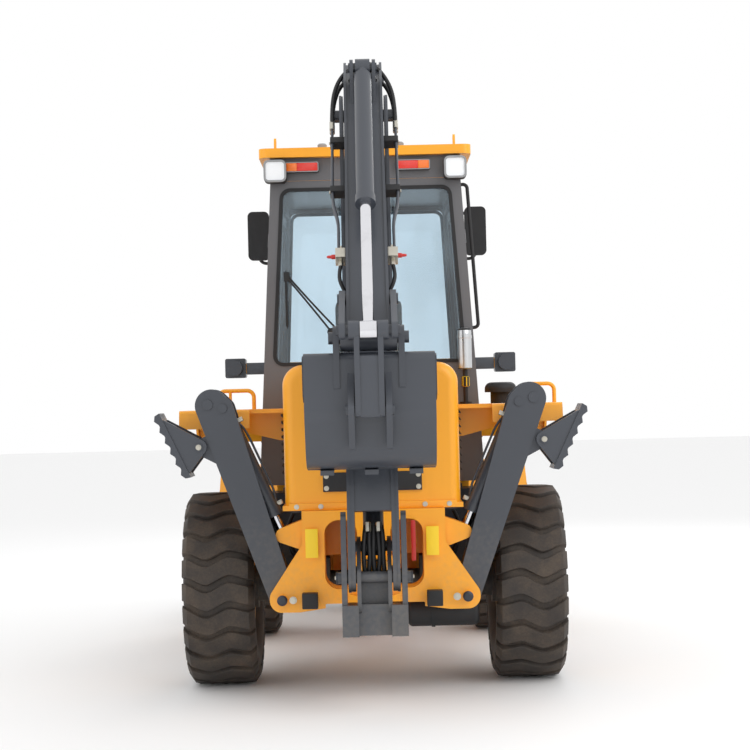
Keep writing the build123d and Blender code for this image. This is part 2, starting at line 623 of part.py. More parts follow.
def make_roof() -> Part:
    """Yellow roof slab on a dark lamp band, with two lifting eyes."""
    rear, front = CAB_REAR_Y - 60, CAB_FRONT_Y + 110
    slab_low = ROOF_TOP_Z - ROOF_SLAB
    cap = slab("Z", [(-ROOF_HALF, rear, 50), (ROOF_HALF, rear, 50), (ROOF_HALF, front, 90),
                     (-ROOF_HALF, front, 90)], slab_low, ROOF_TOP_Z)
    band = slab("Z", [(-CAB_TOP_HALF, CAB_REAR_Y, 30), (CAB_TOP_HALF, CAB_REAR_Y, 30),
                      (CAB_TOP_HALF, CAB_FRONT_Y, 30), (-CAB_TOP_HALF, CAB_FRONT_Y, 30)],
                CAB_TOP_Z, slab_low + 1)
    eyes = []
    for x in (-EYE_X, EYE_X):
        for y in (rear + 90, front - 130):
            eye = belt("X", [(y, ROOF_TOP_Z + 46, 28), (y - 34, ROOF_TOP_Z - 1, 2),
                             (y + 34, ROOF_TOP_Z - 1, 2)], x - 7, x + 7)
            eyes.append(cut(eye, bar("X", y, ROOF_TOP_Z + 46, EYE_BORE_RADIUS, x - 10, x + 10)))
    return join(cap, band, *eyes)


EYE_X = 560.0
EYE_BORE_RADIUS = 15.0


def make_cab_lamps() -> Part:
    """Work lamps and tail lamps on the lamp band, rear and front."""
    solids = []
    for y, way in ((CAB_REAR_Y, -1), (CAB_FRONT_Y, 1)):
        near, far = sorted((y + way * SEAT_GAP, y + way * 92))
        for x in (-560.0, 560.0):
            solids.append(slab("Y", [(x - 70, 3085, 26), (x + 70, 3085, 26), (x + 70, 3222, 26),
                                     (x - 70, 3222, 26)], near, far))
    for x in (-395.0, 300.0):
        solids.append(slab("Y", [(x - 105, 3150, 8), (x + 105, 3150, 8), (x + 105, 3212, 8),
                                 (x - 105, 3212, 8)], CAB_REAR_Y - 46, CAB_REAR_Y - SEAT_GAP))
    return Compound(children=solids)


def make_cab_interior() -> Part:
    """Seat, steering column with its wheel, and the backhoe's two levers."""
    mid = CAB_REAR_Y + 330
    base_z = 1640 + SEAT_GAP
    pad = slab("X", [(mid - 200, base_z), (mid - 210, base_z + 130, 40), (mid + 240, base_z + 140, 50),
                     (mid + 250, base_z, 30)], -235, 235)
    back = slab("X", [(mid - 215, base_z + 60), (mid - 265, base_z + 700, 50),
                      (mid - 165, base_z + 720, 50), (mid - 105, base_z + 120)], -215, 215)
    column_foot = (0, CAB_FRONT_Y - 185, 1900)
    column_head = (0, CAB_FRONT_Y - 370, 2080)
    column = rod(column_foot, column_head, 26)
    tilt = Vector(*column_head) - Vector(*column_foot)
    wheel_plane = Plane(origin=column_head, z_dir=tilt)
    rim = Solid.make_torus(190, 15, wheel_plane)
    spokes = [wheel_plane * Rot(0, 0, 120 * i + 30) * Pos(95, 0, 0) * Box(190, 24, 12) for i in range(3)]
    column = cut(join(column, rim, *spokes), make_dash_tool())
    levers = []
    for x in (-120.0, 120.0):
        stand = block(x - 40, x + 40, CAB_REAR_Y + 66, CAB_REAR_Y + 100, base_z, 1960)
        stick = rod((x, CAB_REAR_Y + 83, 1950), (x, CAB_REAR_Y + 90, 2240), 9)
        knob = Pos(x, CAB_REAR_Y + 90, 2250) * Sphere(26)
        levers.append(join(stand, stick, knob))
    return Compound(children=[join(pad, back), column, *levers])


def make_dash_tool() -> Solid:
    """Space of the dashboard, a seat gap larger, that the steering column stops at."""
    return slab(
        "X",
        [(CAB_FRONT_Y - CAB_WALL, CAB_LOW_Z), (CAB_FRONT_Y - CAB_WALL, 1961),
         (CAB_FRONT_Y - 170.3, 1961), (CAB_FRONT_Y - 210.5, 1800, 30), (CAB_FRONT_Y - 130.3, 1640)],
        -301, 301,
    )


BEAM_REAR_Y = REAR_AXLE_Y + 920
BEAM_FRONT_Y = REAR_AXLE_Y + 990
BEAM_LOW_Z = 1130.0
TANK_REAR_Y = REAR_AXLE_Y + 610
TANK_FRONT_Y = REAR_AXLE_Y + 940
TANK_OUT_X = 690.0


def make_cab_beam() -> Part:
    """Cross beam under the cab floor on a post of the pivot frame, with the tanks' hangers."""
    beam = block(-640, 640, BEAM_REAR_Y, BEAM_FRONT_Y, BEAM_LOW_Z, CAB_LOW_Z - SEAT_GAP)
    post = block(-130, 130, BEAM_REAR_Y, BEAM_FRONT_Y, PIVOT_HIGH_Z + PIVOT_PLATE - 1,
                 BEAM_LOW_Z + 1)
    return join(beam, post)


def make_side_tanks() -> Part:
    """Tank under each door with its two steps."""
    tank = slab("Y", [(350, 590, 60), (TANK_OUT_X, 590, 60), (TANK_OUT_X, BEAM_LOW_Z - SEAT_GAP, 20),
                      (350, BEAM_LOW_Z - SEAT_GAP, 20)], TANK_REAR_Y, TANK_FRONT_Y)
    cheek = [(TANK_OUT_X - 2, 1040), (TANK_OUT_X - 2, 640), (TANK_OUT_X + 30, 420, 20),
             (TANK_OUT_X + 170, 420, 30), (TANK_OUT_X + 120, 1040, 30)]
    cheeks = [slab("Y", cheek, y, y + 10) for y in (TANK_REAR_Y + 10, TANK_FRONT_Y - 40)]
    treads = [
        block(TANK_OUT_X - 1, TANK_OUT_X + reach, TANK_REAR_Y + 19, TANK_FRONT_Y - 39, z, z + 26)
        for z, reach in ((450.0, 158.0), (730.0, 136.0), (1000.0, 112.0))
    ]
    return join(*both_sides(join(tank, *cheeks, *treads)))


def make_fender_rails() -> Part:
    """Yellow hoop rails that stand on the rear step plates."""
    rear = REAR_AXLE_Y - 380
    top = FENDER_TOP_Z + 112
    low = FENDER_TOP_Z + SEAT_GAP
    solids = []
    for near, far in ((-905.0, -695.0), (905.0, 1095.0)):
        hoop = tube_path([(near, rear, low), (near, rear, top), (far, rear, top), (far, rear, low)], 12, 40)
        middle = (near * 2 + far) / 3 if near < 0 else (near + far) / 2
        solids.append(join(hoop, bar("Z", middle, rear, 9, low, top)))
    return Compound(children=solids)


def make_service_fittings() -> Part:
    """Filter canister on its stand behind the cab, and a filler cap on the right step plate."""
    low = FENDER_TOP_Z + SEAT_GAP
    y = CAB_REAR_Y - 70
    foot = bar("Z", 592, y, 38, low, low + 14)
    stand = bar("Z", 592, y, 15, low, 1905)
    fitting = bar("Z", 592, y, 24, 1790, 1850)
    canister = bar("Z", 592, y, 42, 1900, 2150)
    canister = canister.fillet(12, canister.edges().sort_by(Axis.Z)[-1:])
    neck = bar("Z", 790, REAR_AXLE_Y - 180, 62, low, low + 70)
    cap = bar("Z", 790, REAR_AXLE_Y - 180, 96, low + 68, low + 128)
    cap = cap.fillet(40, cap.edges().sort_by(Axis.Z)[-1:])
    return Compound(children=[join(foot, stand, fitting, canister), join(neck, cap)])


def make_mirrors() -> Part:
    """Mirrors on arms at the cab's front, and the grab rail on its right rear pillar."""
    solids = []
    for side in (1, -1):
        y = CAB_FRONT_Y - 20
        root_low = (cab_half(2700) + 1.0, y, 2700)
        root_high = (cab_half(3020) + 1.0, y, 3020)
        x = 760.0
        arm = tube_path([root_low, (x, y, 2700), (x, y, 3020), root_high], 11, 50)
        head = slab("Y", [(x - 75, 2720, 35), (x + 75, 2720, 35), (x + 75, 3060, 35), (x - 75, 3060, 35)],
                    y - 52, y - 8)
        mirror = join(arm, head)
        solids.append(mirror if side > 0 else mirror.mirror(Plane.YZ))
    off, y = 38, CAB_REAR_Y + 35
    grab = tube_path([(0.3, y, 2160), (off, y, 2160), (off, y, 3060), (0.3, y, 3060)], 11, 26)
    solids.append(side_place(grab, 1))
    return Compound(children=solids)


FORK_PLATE = 30.0
TOWER_LOW_Z = 940.0


def make_front_frame() -> Part:
    """Front frame with its pivot forks, rails and the towers that carry the loader arms."""
    plate_y = PIVOT_Y + 130
    front_y = FRONT_AXLE_Y + 500
    forks = []
    for low in (PIVOT_LOW_Z, PIVOT_HIGH_Z):
        for z in (low - LEG_GAP - FORK_PLATE, low + PIVOT_PLATE + LEG_GAP):
            forks.append(belt(
                "Z",
                [(0, PIVOT_Y, PIVOT_EAR_RADIUS), (240, plate_y + 2, 1), (-240, plate_y + 2, 1)],
                z, z + FORK_PLATE,
            ))
        forks.append(bar("Z", 0, PIVOT_Y, PIVOT_PIN_RADIUS, low - LEG_GAP - FORK_PLATE - 8,
                         low + PIVOT_PLATE + LEG_GAP + FORK_PLATE + 8))
    back = block(-RAIL_OUT_X, RAIL_OUT_X, plate_y, plate_y + 30, PIVOT_LOW_Z - LEG_GAP - FORK_PLATE,
                 RAIL_TOP_Z)
    low_z = PIVOT_LOW_Z - LEG_GAP - FORK_PLATE
    rails = both_sides(rail(plate_y + 10, front_y, FRONT_AXLE_Y, low_z, low_z, 940))
    tower = slab(
        "X",
        [(ARM_PIN[0] - 330, TOWER_LOW_Z), (ARM_PIN[0] - 330, RAIL_TOP_Z + 20, 20),
         (ARM_PIN[0] - 150, 1180, 60), (ARM_PIN[0] - 96, ARM_PIN[1] - 40, 200), (ARM_PIN[0] - 90, ARM_PIN[1] + 90, 88),
         (ARM_PIN[0] + 90, ARM_PIN[1] + 90, 88), (ARM_PIN[0] + 110, ARM_PIN[1] - 60, 200),
         (ARM_PIN[0] + 420, RAIL_TOP_Z + 60, 60), (ARM_PIN[0] + 420, TOWER_LOW_Z)],
        RAIL_X, RAIL_OUT_X,
    )
    boss = bar("X", *ARM_PIN, 78, RAIL_OUT_X - 1, ARM_IN_X - MOVE_GAP)
    stub = bar("X", *ARM_PIN, 40, ARM_IN_X - MOVE_GAP - 1, ARM_OUT_X + MOVE_GAP + 11)
    cap = bar("X", *ARM_PIN, 62, ARM_OUT_X + MOVE_GAP, ARM_OUT_X + MOVE_GAP + 12)
    ram_boss = bar("X", *LIFT_RAM_BASE, 62, RAIL_OUT_X - 1, LIFT_RAM_X - 50)
    ram_stub = bar("X", *LIFT_RAM_BASE, RAM_PIN_RADIUS, RAIL_OUT_X - 1, LIFT_RAM_X + 50)
    ram_cap = bar("X", *LIFT_RAM_BASE, 46, LIFT_RAM_X + 38, LIFT_RAM_X + 50)
    lamp_post = slab(
        "Y",
        [(RAIL_X + 1, 1480), (RAIL_OUT_X, 1480), (RAIL_OUT_X + 20, 1930, 40), (LAMP_X - 60, 1930, 10),
         (LAMP_X - 60, 2010, 10), (RAIL_X + 1, 2010, 60)],
        ARM_PIN[0] - 140, ARM_PIN[0] - 102,
    )
    sides = both_sides(tower, boss, stub, cap, ram_boss, ram_stub, ram_cap, lamp_post)
    cross = [
        block(-RAIL_X, RAIL_X, front_y - 60, front_y - 30, low_z, 900),
        block(-RAIL_X, RAIL_X, ARM_PIN[0] - 330, ARM_PIN[0] - 310, RAIL_TOP_Z - 180, RAIL_TOP_Z + 15),
        block(-RAIL_X, RAIL_X, ARM_PIN[0] + 200, ARM_PIN[0] + 230, TOWER_LOW_Z - 60, RAIL_TOP_Z),
    ]
    return join(back, *forks, *rails, *sides, *cross)


LIFT_RAM_BASE = (ARM_PIN[0] + 30, 450.0)
RAM_PIN_RADIUS = 28.0
LAMP_X = 960.0


def make_front_fenders() -> Part:
    """Arched guards over the front wheels on the front frame's brackets."""
    y, top = FRONT_AXLE_Y, 1255.0
    profile = [
        (y - 560, top - 210), (y - 330, top, 140), (y + 250, top, 140), (y + 440, top - 150),
        (y + 426, top - 164), (y + 243, top - 20, 120), (y - 323, top - 20, 120), (y - 546, top - 224),
    ]
    inner = WHEEL_X - TYRE_WIDTH / 2 - 20
    plate = slab("X", profile, inner, FENDER_OUT_X - 20)
    brace = slab("Y", [(RAIL_OUT_X + SEAT_GAP, 960), (RAIL_OUT_X + SEAT_GAP, 900), (RAIL_OUT_X + 30, 900),
                       (inner + 16, top - 60), (inner + 16, top - 16), (inner, top - 16),
                       (inner - 10, top - 40)], y - 210, y - 150)
    return join(*both_sides(join(plate, brace)))


def make_head_lamps() -> Part:
    """Round head lamps in channel boxes at the ends of their brackets."""
    y_low, y_high = ARM_PIN[0] - 150, ARM_PIN[0] - 20
    low, high = 1905.0, 2045.0
    solids = []
    box = slab("Y", [(LAMP_X - 60 + SEAT_GAP, low, 14), (LAMP_X + 90, low, 14), (LAMP_X + 90, high, 14),
                     (LAMP_X - 60 + SEAT_GAP, high, 14)], y_low, y_high)
    back = bar("Y", LAMP_X + 20, (low + high) / 2, 56, y_low - 60, y_low + 1)
    front = bar("Y", LAMP_X + 20, (low + high) / 2, 64, y_high - 1, y_high + 24)
    lamp = join(box, back, front)
    return Compound(children=both_sides(lamp))


def yz(x: float, place: tuple) -> Vector:
    """Point at a distance across the machine and a (y, z) place."""
    return Vector(x, place[0], place[1])


class Ram:
    """Hydraulic ram in a plane square to X: a barrel on its base pin and a rod to its eye."""

    def __init__(self, base: tuple, eye: tuple, x: float, barrel: float, bore_end: float,
                 rod_radius: float, width: float, pin: float):
        self.base, self.eye, self.x = base, eye, x
        self.barrel, self.barrel_end, self.rod_radius = barrel, bore_end, rod_radius
        self.half, self.pin = width / 2, pin
        self.eye_radius = pin + 22
        self.gland = 6.0

    def at(self, distance: float) -> Vector:
        """Point on the ram's axis."""
        return yz(self.x, along(self.base, self.eye, distance))

    def make_barrel(self) -> Part:
        """Barrel with its gland, its port bosses and its base eye, bored for the rod."""
        neck = rod(self.at(self.pin), self.at(self.eye_radius + 30), min(self.half, self.barrel) * 0.86)
        tube = rod(self.at(self.eye_radius + 24), self.at(self.barrel_end), self.barrel)
        gland = rod(self.at(self.barrel_end - 55), self.at(self.barrel_end), self.barrel + self.gland)
        low, high = self.x - self.half, self.x + self.half
        eye = bar("X", *self.base, self.eye_radius, low, high)
        body = join(tube, gland, eye, neck)
        bore = rod(self.at(self.eye_radius + 36), self.at(self.barrel_end + 5), self.rod_radius + 0.4)
        hole = bar("X", *self.base, self.pin + RUN_FIT, low - 100, high + 100)
        return cut(body, bore, hole)

    def make_rod(self, inner_end: float, stub_low: float = 0.0, stub_high: float = 0.0) -> Part:
        """Rod from inside the barrel to its eye, with pin stubs that reach past the eye."""
        length = gap_between(self.base, self.eye)
        shaft = rod(self.at(inner_end), self.at(length - self.eye_radius * 0.5), self.rod_radius)
        low, high = self.x - self.half, self.x + self.half
        eye = bar("X", *self.eye, self.eye_radius, low, high)
        stub = bar("X", *self.eye, self.pin, low - stub_low, high + stub_high)
        return join(shaft, eye, stub)


LIFT_RAM_EYE = (ARM_PIN[0] + 357, ARM_PIN[1] - 456)
LIFT_RAM = Ram(LIFT_RAM_BASE, LIFT_RAM_EYE, LIFT_RAM_X, 50, 765, 27, 60, RAM_PIN_RADIUS)
KNEE = (ARM_PIN[0] + 770, ARM_PIN[1] - 550)
KNEE_TUBE = (KNEE[0] - 45, KNEE[1] - 55)
REAR_TUBE = (ARM_PIN[0] + 240, ARM_PIN[1] - 140)
TILT_RAM_BASE = (ARM_PIN[0] + 180, ARM_PIN[1] + 100)
TILT_RAM_EYE = polar(LEVER_PIN, 200, LEVER_ANGLE + 25)
TILT_RAM = Ram(TILT_RAM_BASE, TILT_RAM_EYE, 0, 37, 480, 24, 84, 26)
LEVER_HEAD = polar(LEVER_PIN, LEVER_REACH, LEVER_ANGLE)
LINK_FOOT = polar(LOADER_PIN, LEVER_REACH, LEVER_ANGLE)
LEVER_IN_X = 50.0
LEVER_OUT_X = 72.0
LINK_PIN = 28.0


def make_loader_arms() -> Part:
    """Two cranked arms joined by two cross tubes, with the ears of the tilt gear."""
    upper = belt("X", [(*ARM_PIN, 98), (*KNEE, 145)][::-1], ARM_IN_X, ARM_OUT_X)
    lower = belt("X", [(*KNEE, 145), (*LOADER_PIN, 76)][::-1], ARM_IN_X, ARM_OUT_X)
    ear = belt("X", [(*LIFT_RAM_EYE, 58), (*along(ARM_PIN, KNEE, 440), 70),
                     (*along(ARM_PIN, KNEE, 620), 70)][::1], ARM_IN_X + 6, ARM_OUT_X - 6)
    boss = bar("X", *LIFT_RAM_EYE, 46, ARM_IN_X, ARM_OUT_X)
    arm = join(upper, lower, ear, boss)
    arm = cut(
        arm,
        bar("X", *ARM_PIN, 40 + RUN_FIT, ARM_IN_X - 5, ARM_OUT_X + 5),
        bar("X", *LOADER_PIN, 35 + RUN_FIT, ARM_IN_X - 5, ARM_OUT_X + 5),
    )
    tubes = [
        bar("X", *KNEE_TUBE, 66, -ARM_IN_X - 1, ARM_IN_X + 1),
        bar("X", *REAR_TUBE, 52, -ARM_IN_X - 1, ARM_IN_X + 1),
    ]
    lever_ear = belt("X", [(*KNEE_TUBE, 60), (*LEVER_PIN, 46)], LEVER_OUT_X + 8, LEVER_OUT_X + 32)
    stub = bar("X", *LEVER_PIN, 30, LEVER_IN_X - 6, LEVER_OUT_X + 40)
    ram_ear = belt("X", [(*REAR_TUBE, 50), (*TILT_RAM_BASE, 44)], LEVER_IN_X, LEVER_OUT_X - 2)
    ram_pin = bar("X", *TILT_RAM_BASE, TILT_RAM.pin, -LEVER_OUT_X - 6, LEVER_OUT_X + 6)
    return join(*both_sides(arm, lever_ear, stub, ram_ear), *tubes, ram_pin)


def make_tilt_lever() -> Part:
    """Lever between the tilt ram and the bucket link: two plates on the head pin."""
    corner = TILT_RAM_EYE
    plate = belt("X", [(*LEVER_PIN, 52), (*LEVER_HEAD, 46), (*corner, 46)], LEVER_IN_X, LEVER_OUT_X)
    plate = cut(plate, bar("X", *LEVER_PIN, 30 + RUN_FIT, LEVER_IN_X - 5, LEVER_OUT_X + 5))
    boss = bar("X", *corner, 34, LEVER_OUT_X - 1, LEVER_OUT_X + 10)
    pin = bar("X", *LEVER_HEAD, LINK_PIN, -LEVER_OUT_X - 10, LEVER_OUT_X + 10)
    return join(*both_sides(plate, boss), pin)


def make_tilt_link() -> Part:
    """Bar from the tilt lever to the loader bucket, with a bored eye at each end."""
    half = LEVER_IN_X - MOVE_GAP
    web = belt("X", [(*LEVER_HEAD, 34), (*LINK_FOOT, 34)], -half + 12, half - 12)
    eyes = [bar("X", *place, 50, -half, half) for place in (LEVER_HEAD, LINK_FOOT)]
    holes = [
        bar("X", *LEVER_HEAD, LINK_PIN + RUN_FIT, -half - 5, half + 5),
        bar("X", *LINK_FOOT, LINK_PIN + 1.0, -half - 5, half + 5),
    ]
    return cut(join(web, *eyes), *holes)


def rolled(corners: list) -> list:
    """Loader bucket corners, drawn from its hinge as if it lay flat, turned to the rest pose."""
    turned = []
    for corner in corners:
        reach, angle = hypot(corner[0], corner[1]), degrees(atan2(corner[1], corner[0]))
        turned.append((*polar(LOADER_PIN, reach, angle + LOADER_ROLL), *corner[2:]))
    return turned


def make_loader_bucket() -> Part:
    """Loader bucket: wrapped shell, side plates, toothed edge and hinge ears."""
    half = LOADER_BUCKET_HALF
    outer = [(905, -312), (210, -312, 240), (160, 420, 190), (340, 565)]
    inner = [(1100, -298), (224, -298, 226), (175, 413, 176), (348, 552), (420, 720), (1100, 720)]
    shell = slab("X", rolled(outer), -half, half)
    hollow = slab("X", rolled(inner), -half + 16, half - 16)
    bucket = cut(shell, hollow)
    edge = slab("X", rolled([(905, -320), (700, -320), (700, -296), (860, -296)]), -half, half)
    side_edge = slab("X", rolled([(905, -312), (860, -312), (800, -240), (390, 480), (345, 566),
                                  (395, 590), (430, 520), (850, -200)]), half - 24, half)
    ears = []
    for low, high in ((ARM_IN_X - 26, ARM_IN_X - 6), (ARM_OUT_X + 6, ARM_OUT_X + 26)):
        ears.append(slab("X", rolled([(-64, -64, 62), (240, -290), (215, 250), (-64, 64, 62)]),
                         low, high))
    pin = bar("X", *LOADER_PIN, 35, ARM_IN_X - 34, ARM_OUT_X + 34)
    foot = rolled([(LEVER_REACH * cos(radians(LEVER_ANGLE - LOADER_ROLL)),
                    LEVER_REACH * sin(radians(LEVER_ANGLE - LOADER_ROLL)))])[0]
    link_ear = belt("X", [(*foot, 44), *[(*p, 20) for p in rolled([(190, 180), (190, 420)])]],
                    LEVER_IN_X + 2, LEVER_OUT_X)
    link_pin = bar("X", *foot, LINK_PIN, -LEVER_OUT_X - 8, LEVER_OUT_X + 8)
    teeth = []
    for i in range(LOADER_TEETH):
        x = -half + 45 + (2 * half - 90) * i / (LOADER_TEETH - 1)
        teeth.append(slab("X", rolled([(1010, -322), (880, -330), (760, -330), (760, -318), (860, -290),
                                       (900, -284)]), x - 34, x + 34))
    return join(bucket, edge, *both_sides(side_edge, *ears, pin, link_ear), link_pin, *teeth)


LOADER_TEETH = 8
BOOM_LENGTH = gap_between(BOOM_FOOT, ELBOW)
BOOM_PLATE = 15.0
BOOM_RAM_EYE = along(BOOM_FOOT, ELBOW, 1150, -262)
DIPPER_RAM_BASE = along(BOOM_FOOT, ELBOW, 1420, -282)
BOOM_RAM = Ram(BOOM_RAM_PIN, BOOM_RAM_EYE, 0, 58, 770, 32, 100, 30)
DIPPER_RAM = Ram(DIPPER_RAM_BASE, DIPPER_TOP_PIN, 0, 54, 830, 30, 100, 28)
BUCKET_RAM = Ram(BUCKET_RAM_PIN, ROD_LINK_PIN, 0, 50, 1105, 29, 84, 27)


def beam_points(start: tuple, end: tuple, corners: list) -> list:
    """Corners (distance, offset, radius) along a beam turned into (y, z, radius)."""
    return [(*along(start, end, corner[0], corner[1]), *corner[2:]) for corner in corners]


def make_swing_post() -> Part:
    """Swing post on its vertical pin, with the clevis of the boom and the ears of its ram."""
    foot_y, foot_z = BOOM_FOOT
    high_top = CARRIER_HIGH_Z + CARRIER_PLATE
    pin = bar("Z", 0, SWING_Y, SWING_PIN_RADIUS, 520, high_top + 9)
    neck = [(0, SWING_Y, 84), (-84, foot_y + 30, 5), (84, foot_y + 30, 5)]
    hub = belt("Z", neck, CARRIER_LOW_Z + CARRIER_PLATE + LEG_GAP, CARRIER_HIGH_Z - LEG_GAP)
    foot = belt("Z", neck, POST_LOW_Z + 40, CARRIER_LOW_Z - LEG_GAP)
    base = block(-177, 177, foot_y - 95, foot_y + 76, POST_LOW_Z, foot_z - 142)
    recess = block(-88, 88, foot_y - 100, foot_y - 40, POST_LOW_Z - 5, foot_z - 125)
    outer = belt("X", [(foot_y - 45, foot_z - 180, 30), (foot_y + 45, foot_z - 180, 30),
                       (foot_y + 30, 1075, 40), (foot_y, foot_z, 78)], BOOM_HALF + 8, BOOM_HALF + 37)
    inner = belt("X", [(foot_y - 30, foot_z - 150, 40), (foot_y + 30, foot_z - 150, 40),
                       (*BOOM_RAM_PIN, 54), (foot_y, foot_z, 72)], 72, 94)
    clear = bar("Z", 0, SWING_Y, 125, POST_LOW_Z, high_top + 8)
    boom_pin = bar("X", foot_y, foot_z, BOOM_PIN_RADIUS, -BOOM_HALF - 60, BOOM_HALF + 60)
    ram_pin = bar("X", *BOOM_RAM_PIN, BOOM_RAM.pin, -102, 102)
    return join(cut(base, recess), hub, foot, pin, *both_sides(outer, cut(inner, clear)), boom_pin, ram_pin)


def make_boom() -> Part:
    """Boom: two side plates over an inset box, with legs at its foot and a fork at its elbow."""
    length = BOOM_LENGTH

    def profile(inset: float) -> list:
        """Boom outline, smaller by an inset on every side."""
        end = 118 - inset
        return beam_points(BOOM_FOOT, ELBOW, [
            (-80 + inset, -80 + inset, 78 - inset), (150, -80 + inset, 200), (520, -150 + inset, 300),
            (1300, -150 + inset, 500), (2250, -108 + inset, 500),
            (length + end, -end, end - 2), (length + end, end, end - 2), (1900, 138 - inset, 600),
            (800, 150 - inset, 500), (-80 + inset, 80 - inset, 78 - inset),
        ])

    side = slab("X", profile(0), BOOM_HALF - BOOM_PLATE, BOOM_HALF)
    core = slab("X", profile(12), -BOOM_HALF + BOOM_PLATE - 1, BOOM_HALF - BOOM_PLATE + 1)
    lug = slab("X", profile(4), 100, BOOM_HALF - BOOM_PLATE + 1)
    arch = slab("X", beam_points(BOOM_FOOT, ELBOW, [
        (-200, -300), (1000, -300), (950, -170), (700, -70, 80), (345, 28, 60), (345, 250), (-200, 250)]),
        -100, 100)
    fork = slab("X", beam_points(BOOM_FOOT, ELBOW, [
        (length + 250, -330), (length - 480, -330), (length - 388, -155), (length - 222, -45, 20),
        (length - 715, 186), (length - 900, 330), (length + 250, 330)]),
        -DIPPER_HALF - 6, DIPPER_HALF + 6)
    ram_ears = []
    for place, reach in ((BOOM_RAM_EYE, 1150), (DIPPER_RAM_BASE, 1420)):
        low_seat = along(BOOM_FOOT, ELBOW, reach - 60, -110)
        high_seat = along(BOOM_FOOT, ELBOW, reach + 90, -110)
        ram_ears.append(belt("X", [(*place, 50), (*high_seat, 30), (*low_seat, 30)], 58, 80))
    base_pin = bar("X", *DIPPER_RAM_BASE, DIPPER_RAM.pin, -88, 88)
    eye_cap = bar("X", *BOOM_RAM_EYE, 36, 79, 88)
    elbow_pin = bar("X", *ELBOW, 36, -BOOM_HALF - 28, BOOM_HALF + 28)
    body = join(cut(core, arch, fork), *both_sides(side, cut(lug, fork)))
    hole = bar("X", *BOOM_FOOT, BOOM_PIN_RADIUS + RUN_FIT, -BOOM_HALF - 5, BOOM_HALF + 5)
    return join(cut(body, hole), *both_sides(*ram_ears, eye_cap), base_pin, elbow_pin)


DIPPER_LENGTH = gap_between(ELBOW, BUCKET_PIN)


def make_dipper() -> Part:
    """Dipper: box beam on the elbow pin with its lever head and the bosses of its tip."""
    tip = DIPPER_LENGTH

    def profile(inset: float) -> list:
        """Dipper outline, smaller by an inset on every side."""
        return beam_points(ELBOW, BUCKET_PIN, [
            (-402 + inset, -92 + inset, 64 - inset), (-120, -162 + inset, 120), (160, -118 + inset, 200),
            (tip + 66 - inset, -72 + inset, 60 - inset), (tip + 66 - inset, 72 - inset, 60 - inset),
            (500, 112 - inset, 400), (60, 124 - inset, 100), (-190, 96 - inset, 120),
            (-402 + inset, 86 - inset, 60 - inset),
        ])

    side = slab("X", profile(0), DIPPER_HALF - BOOM_PLATE, DIPPER_HALF)
    core = slab("X", profile(12), -DIPPER_HALF + BOOM_PLATE - 1, DIPPER_HALF - BOOM_PLATE + 1)
    head_slot = slab("X", beam_points(ELBOW, BUCKET_PIN, [
        (-332, -81, 18), (-141, -86, 28), (-70, 75), (78, 193), (78, 400),
        (-760, 400),
        (-766, 247), (-376, -33, 20)]), -58, 58)
    ram_ear = belt("X", [(*BUCKET_RAM_PIN, 46), (*along(ELBOW, BUCKET_PIN, 10, -112), 30),
                         (*along(ELBOW, BUCKET_PIN, -200, -125), 30)], 54, 74)
    ram_pin = bar("X", *BUCKET_RAM_PIN, BUCKET_RAM.pin, -82, 82)
    top_cap = bar("X", *DIPPER_TOP_PIN, 34, DIPPER_HALF - 1, DIPPER_HALF + 14)
    guide_pin = bar("X", *GUIDE_PIN, 30, -DIPPER_HALF - 48, DIPPER_HALF + 48)
    tip_boss = bar("X", *BUCKET_PIN, 71, -BUCKET_EAR_X + 6, BUCKET_EAR_X - 6)
    body = join(cut(core, head_slot), *both_sides(side, ram_ear, top_cap), ram_pin, guide_pin, tip_boss)
    elbow_boss = bar("X", *ELBOW, 72, -DIPPER_HALF - 1, DIPPER_HALF + 1)
    body = join(body, elbow_boss)
    return cut(
        body,
        bar("X", *ELBOW, 36 + RUN_FIT, -200, 200),
        bar("X", *BUCKET_PIN, 32 + RUN_FIT, -200, 200),
    )


BUCKET_EAR_X = 153.0


def shifted(corners: list) -> list:
    """Corners drawn from the backhoe bucket's hinge pin."""
    return [(BUCKET_PIN[0] + c[0], BUCKET_PIN[1] + c[1], *c[2:]) for c in corners]


def make_backhoe_bucket() -> Part:
    """Digging bucket with side cutters, three teeth and its two pairs of ears."""
    half = BUCKET_HALF
    outer = [(120, -95), (-60, -72, 45), (-82, -400, 180), (60, -702, 200), (372, -655)]
    inner = [(560, -107), (120, -107), (-47, -86, 34), (-69, -398, 168), (68, -689, 188),
             (372, -642), (560, -642)]
    shell = cut(slab("X", shifted(outer), -half, half),
                slab("X", shifted(inner), -half + 12, half - 12))
    lip = slab("X", shifted([(376, -668), (250, -690), (250, -672), (372, -640)]), -half, half)
    cutter = slab("X", shifted([(122, -85), (60, -100), (75, -300), (150, -330), (215, -300)]),
                  half - 1, half + 12)
    ear = belt("X", shifted([(0, 0, 62), (-62, -250, 18), (60, -110, 20)]), BUCKET_EAR_X,
               BUCKET_EAR_X + 32)
    pin = bar("X", *BUCKET_PIN, 32, -BUCKET_EAR_X - 56, BUCKET_EAR_X + 56)
    link_x = LINK_HALF + MOVE_GAP
    dy, dz = BUCKET_LINK_PIN[0] - BUCKET_PIN[0], BUCKET_LINK_PIN[1] - BUCKET_PIN[1]
    link_ear = belt("X", shifted([(dy, dz, 44), (-40, -560, 20), (-55, -200, 20)]), link_x, link_x + 32)
    link_cap = bar("X", *BUCKET_LINK_PIN, 30, link_x + 31, link_x + 44)
    teeth = []
    for x in (-235.0, 0.0, 235.0):
        teeth.append(slab("X", shifted([(150, -716), (250, -694), (376, -668), (395, -612), (385, -605),
                                        (360, -640), (240, -664), (150, -690)]), x - 36, x + 36))
    return join(shell, lip, *both_sides(cutter, ear, link_ear, link_cap), pin, *teeth)


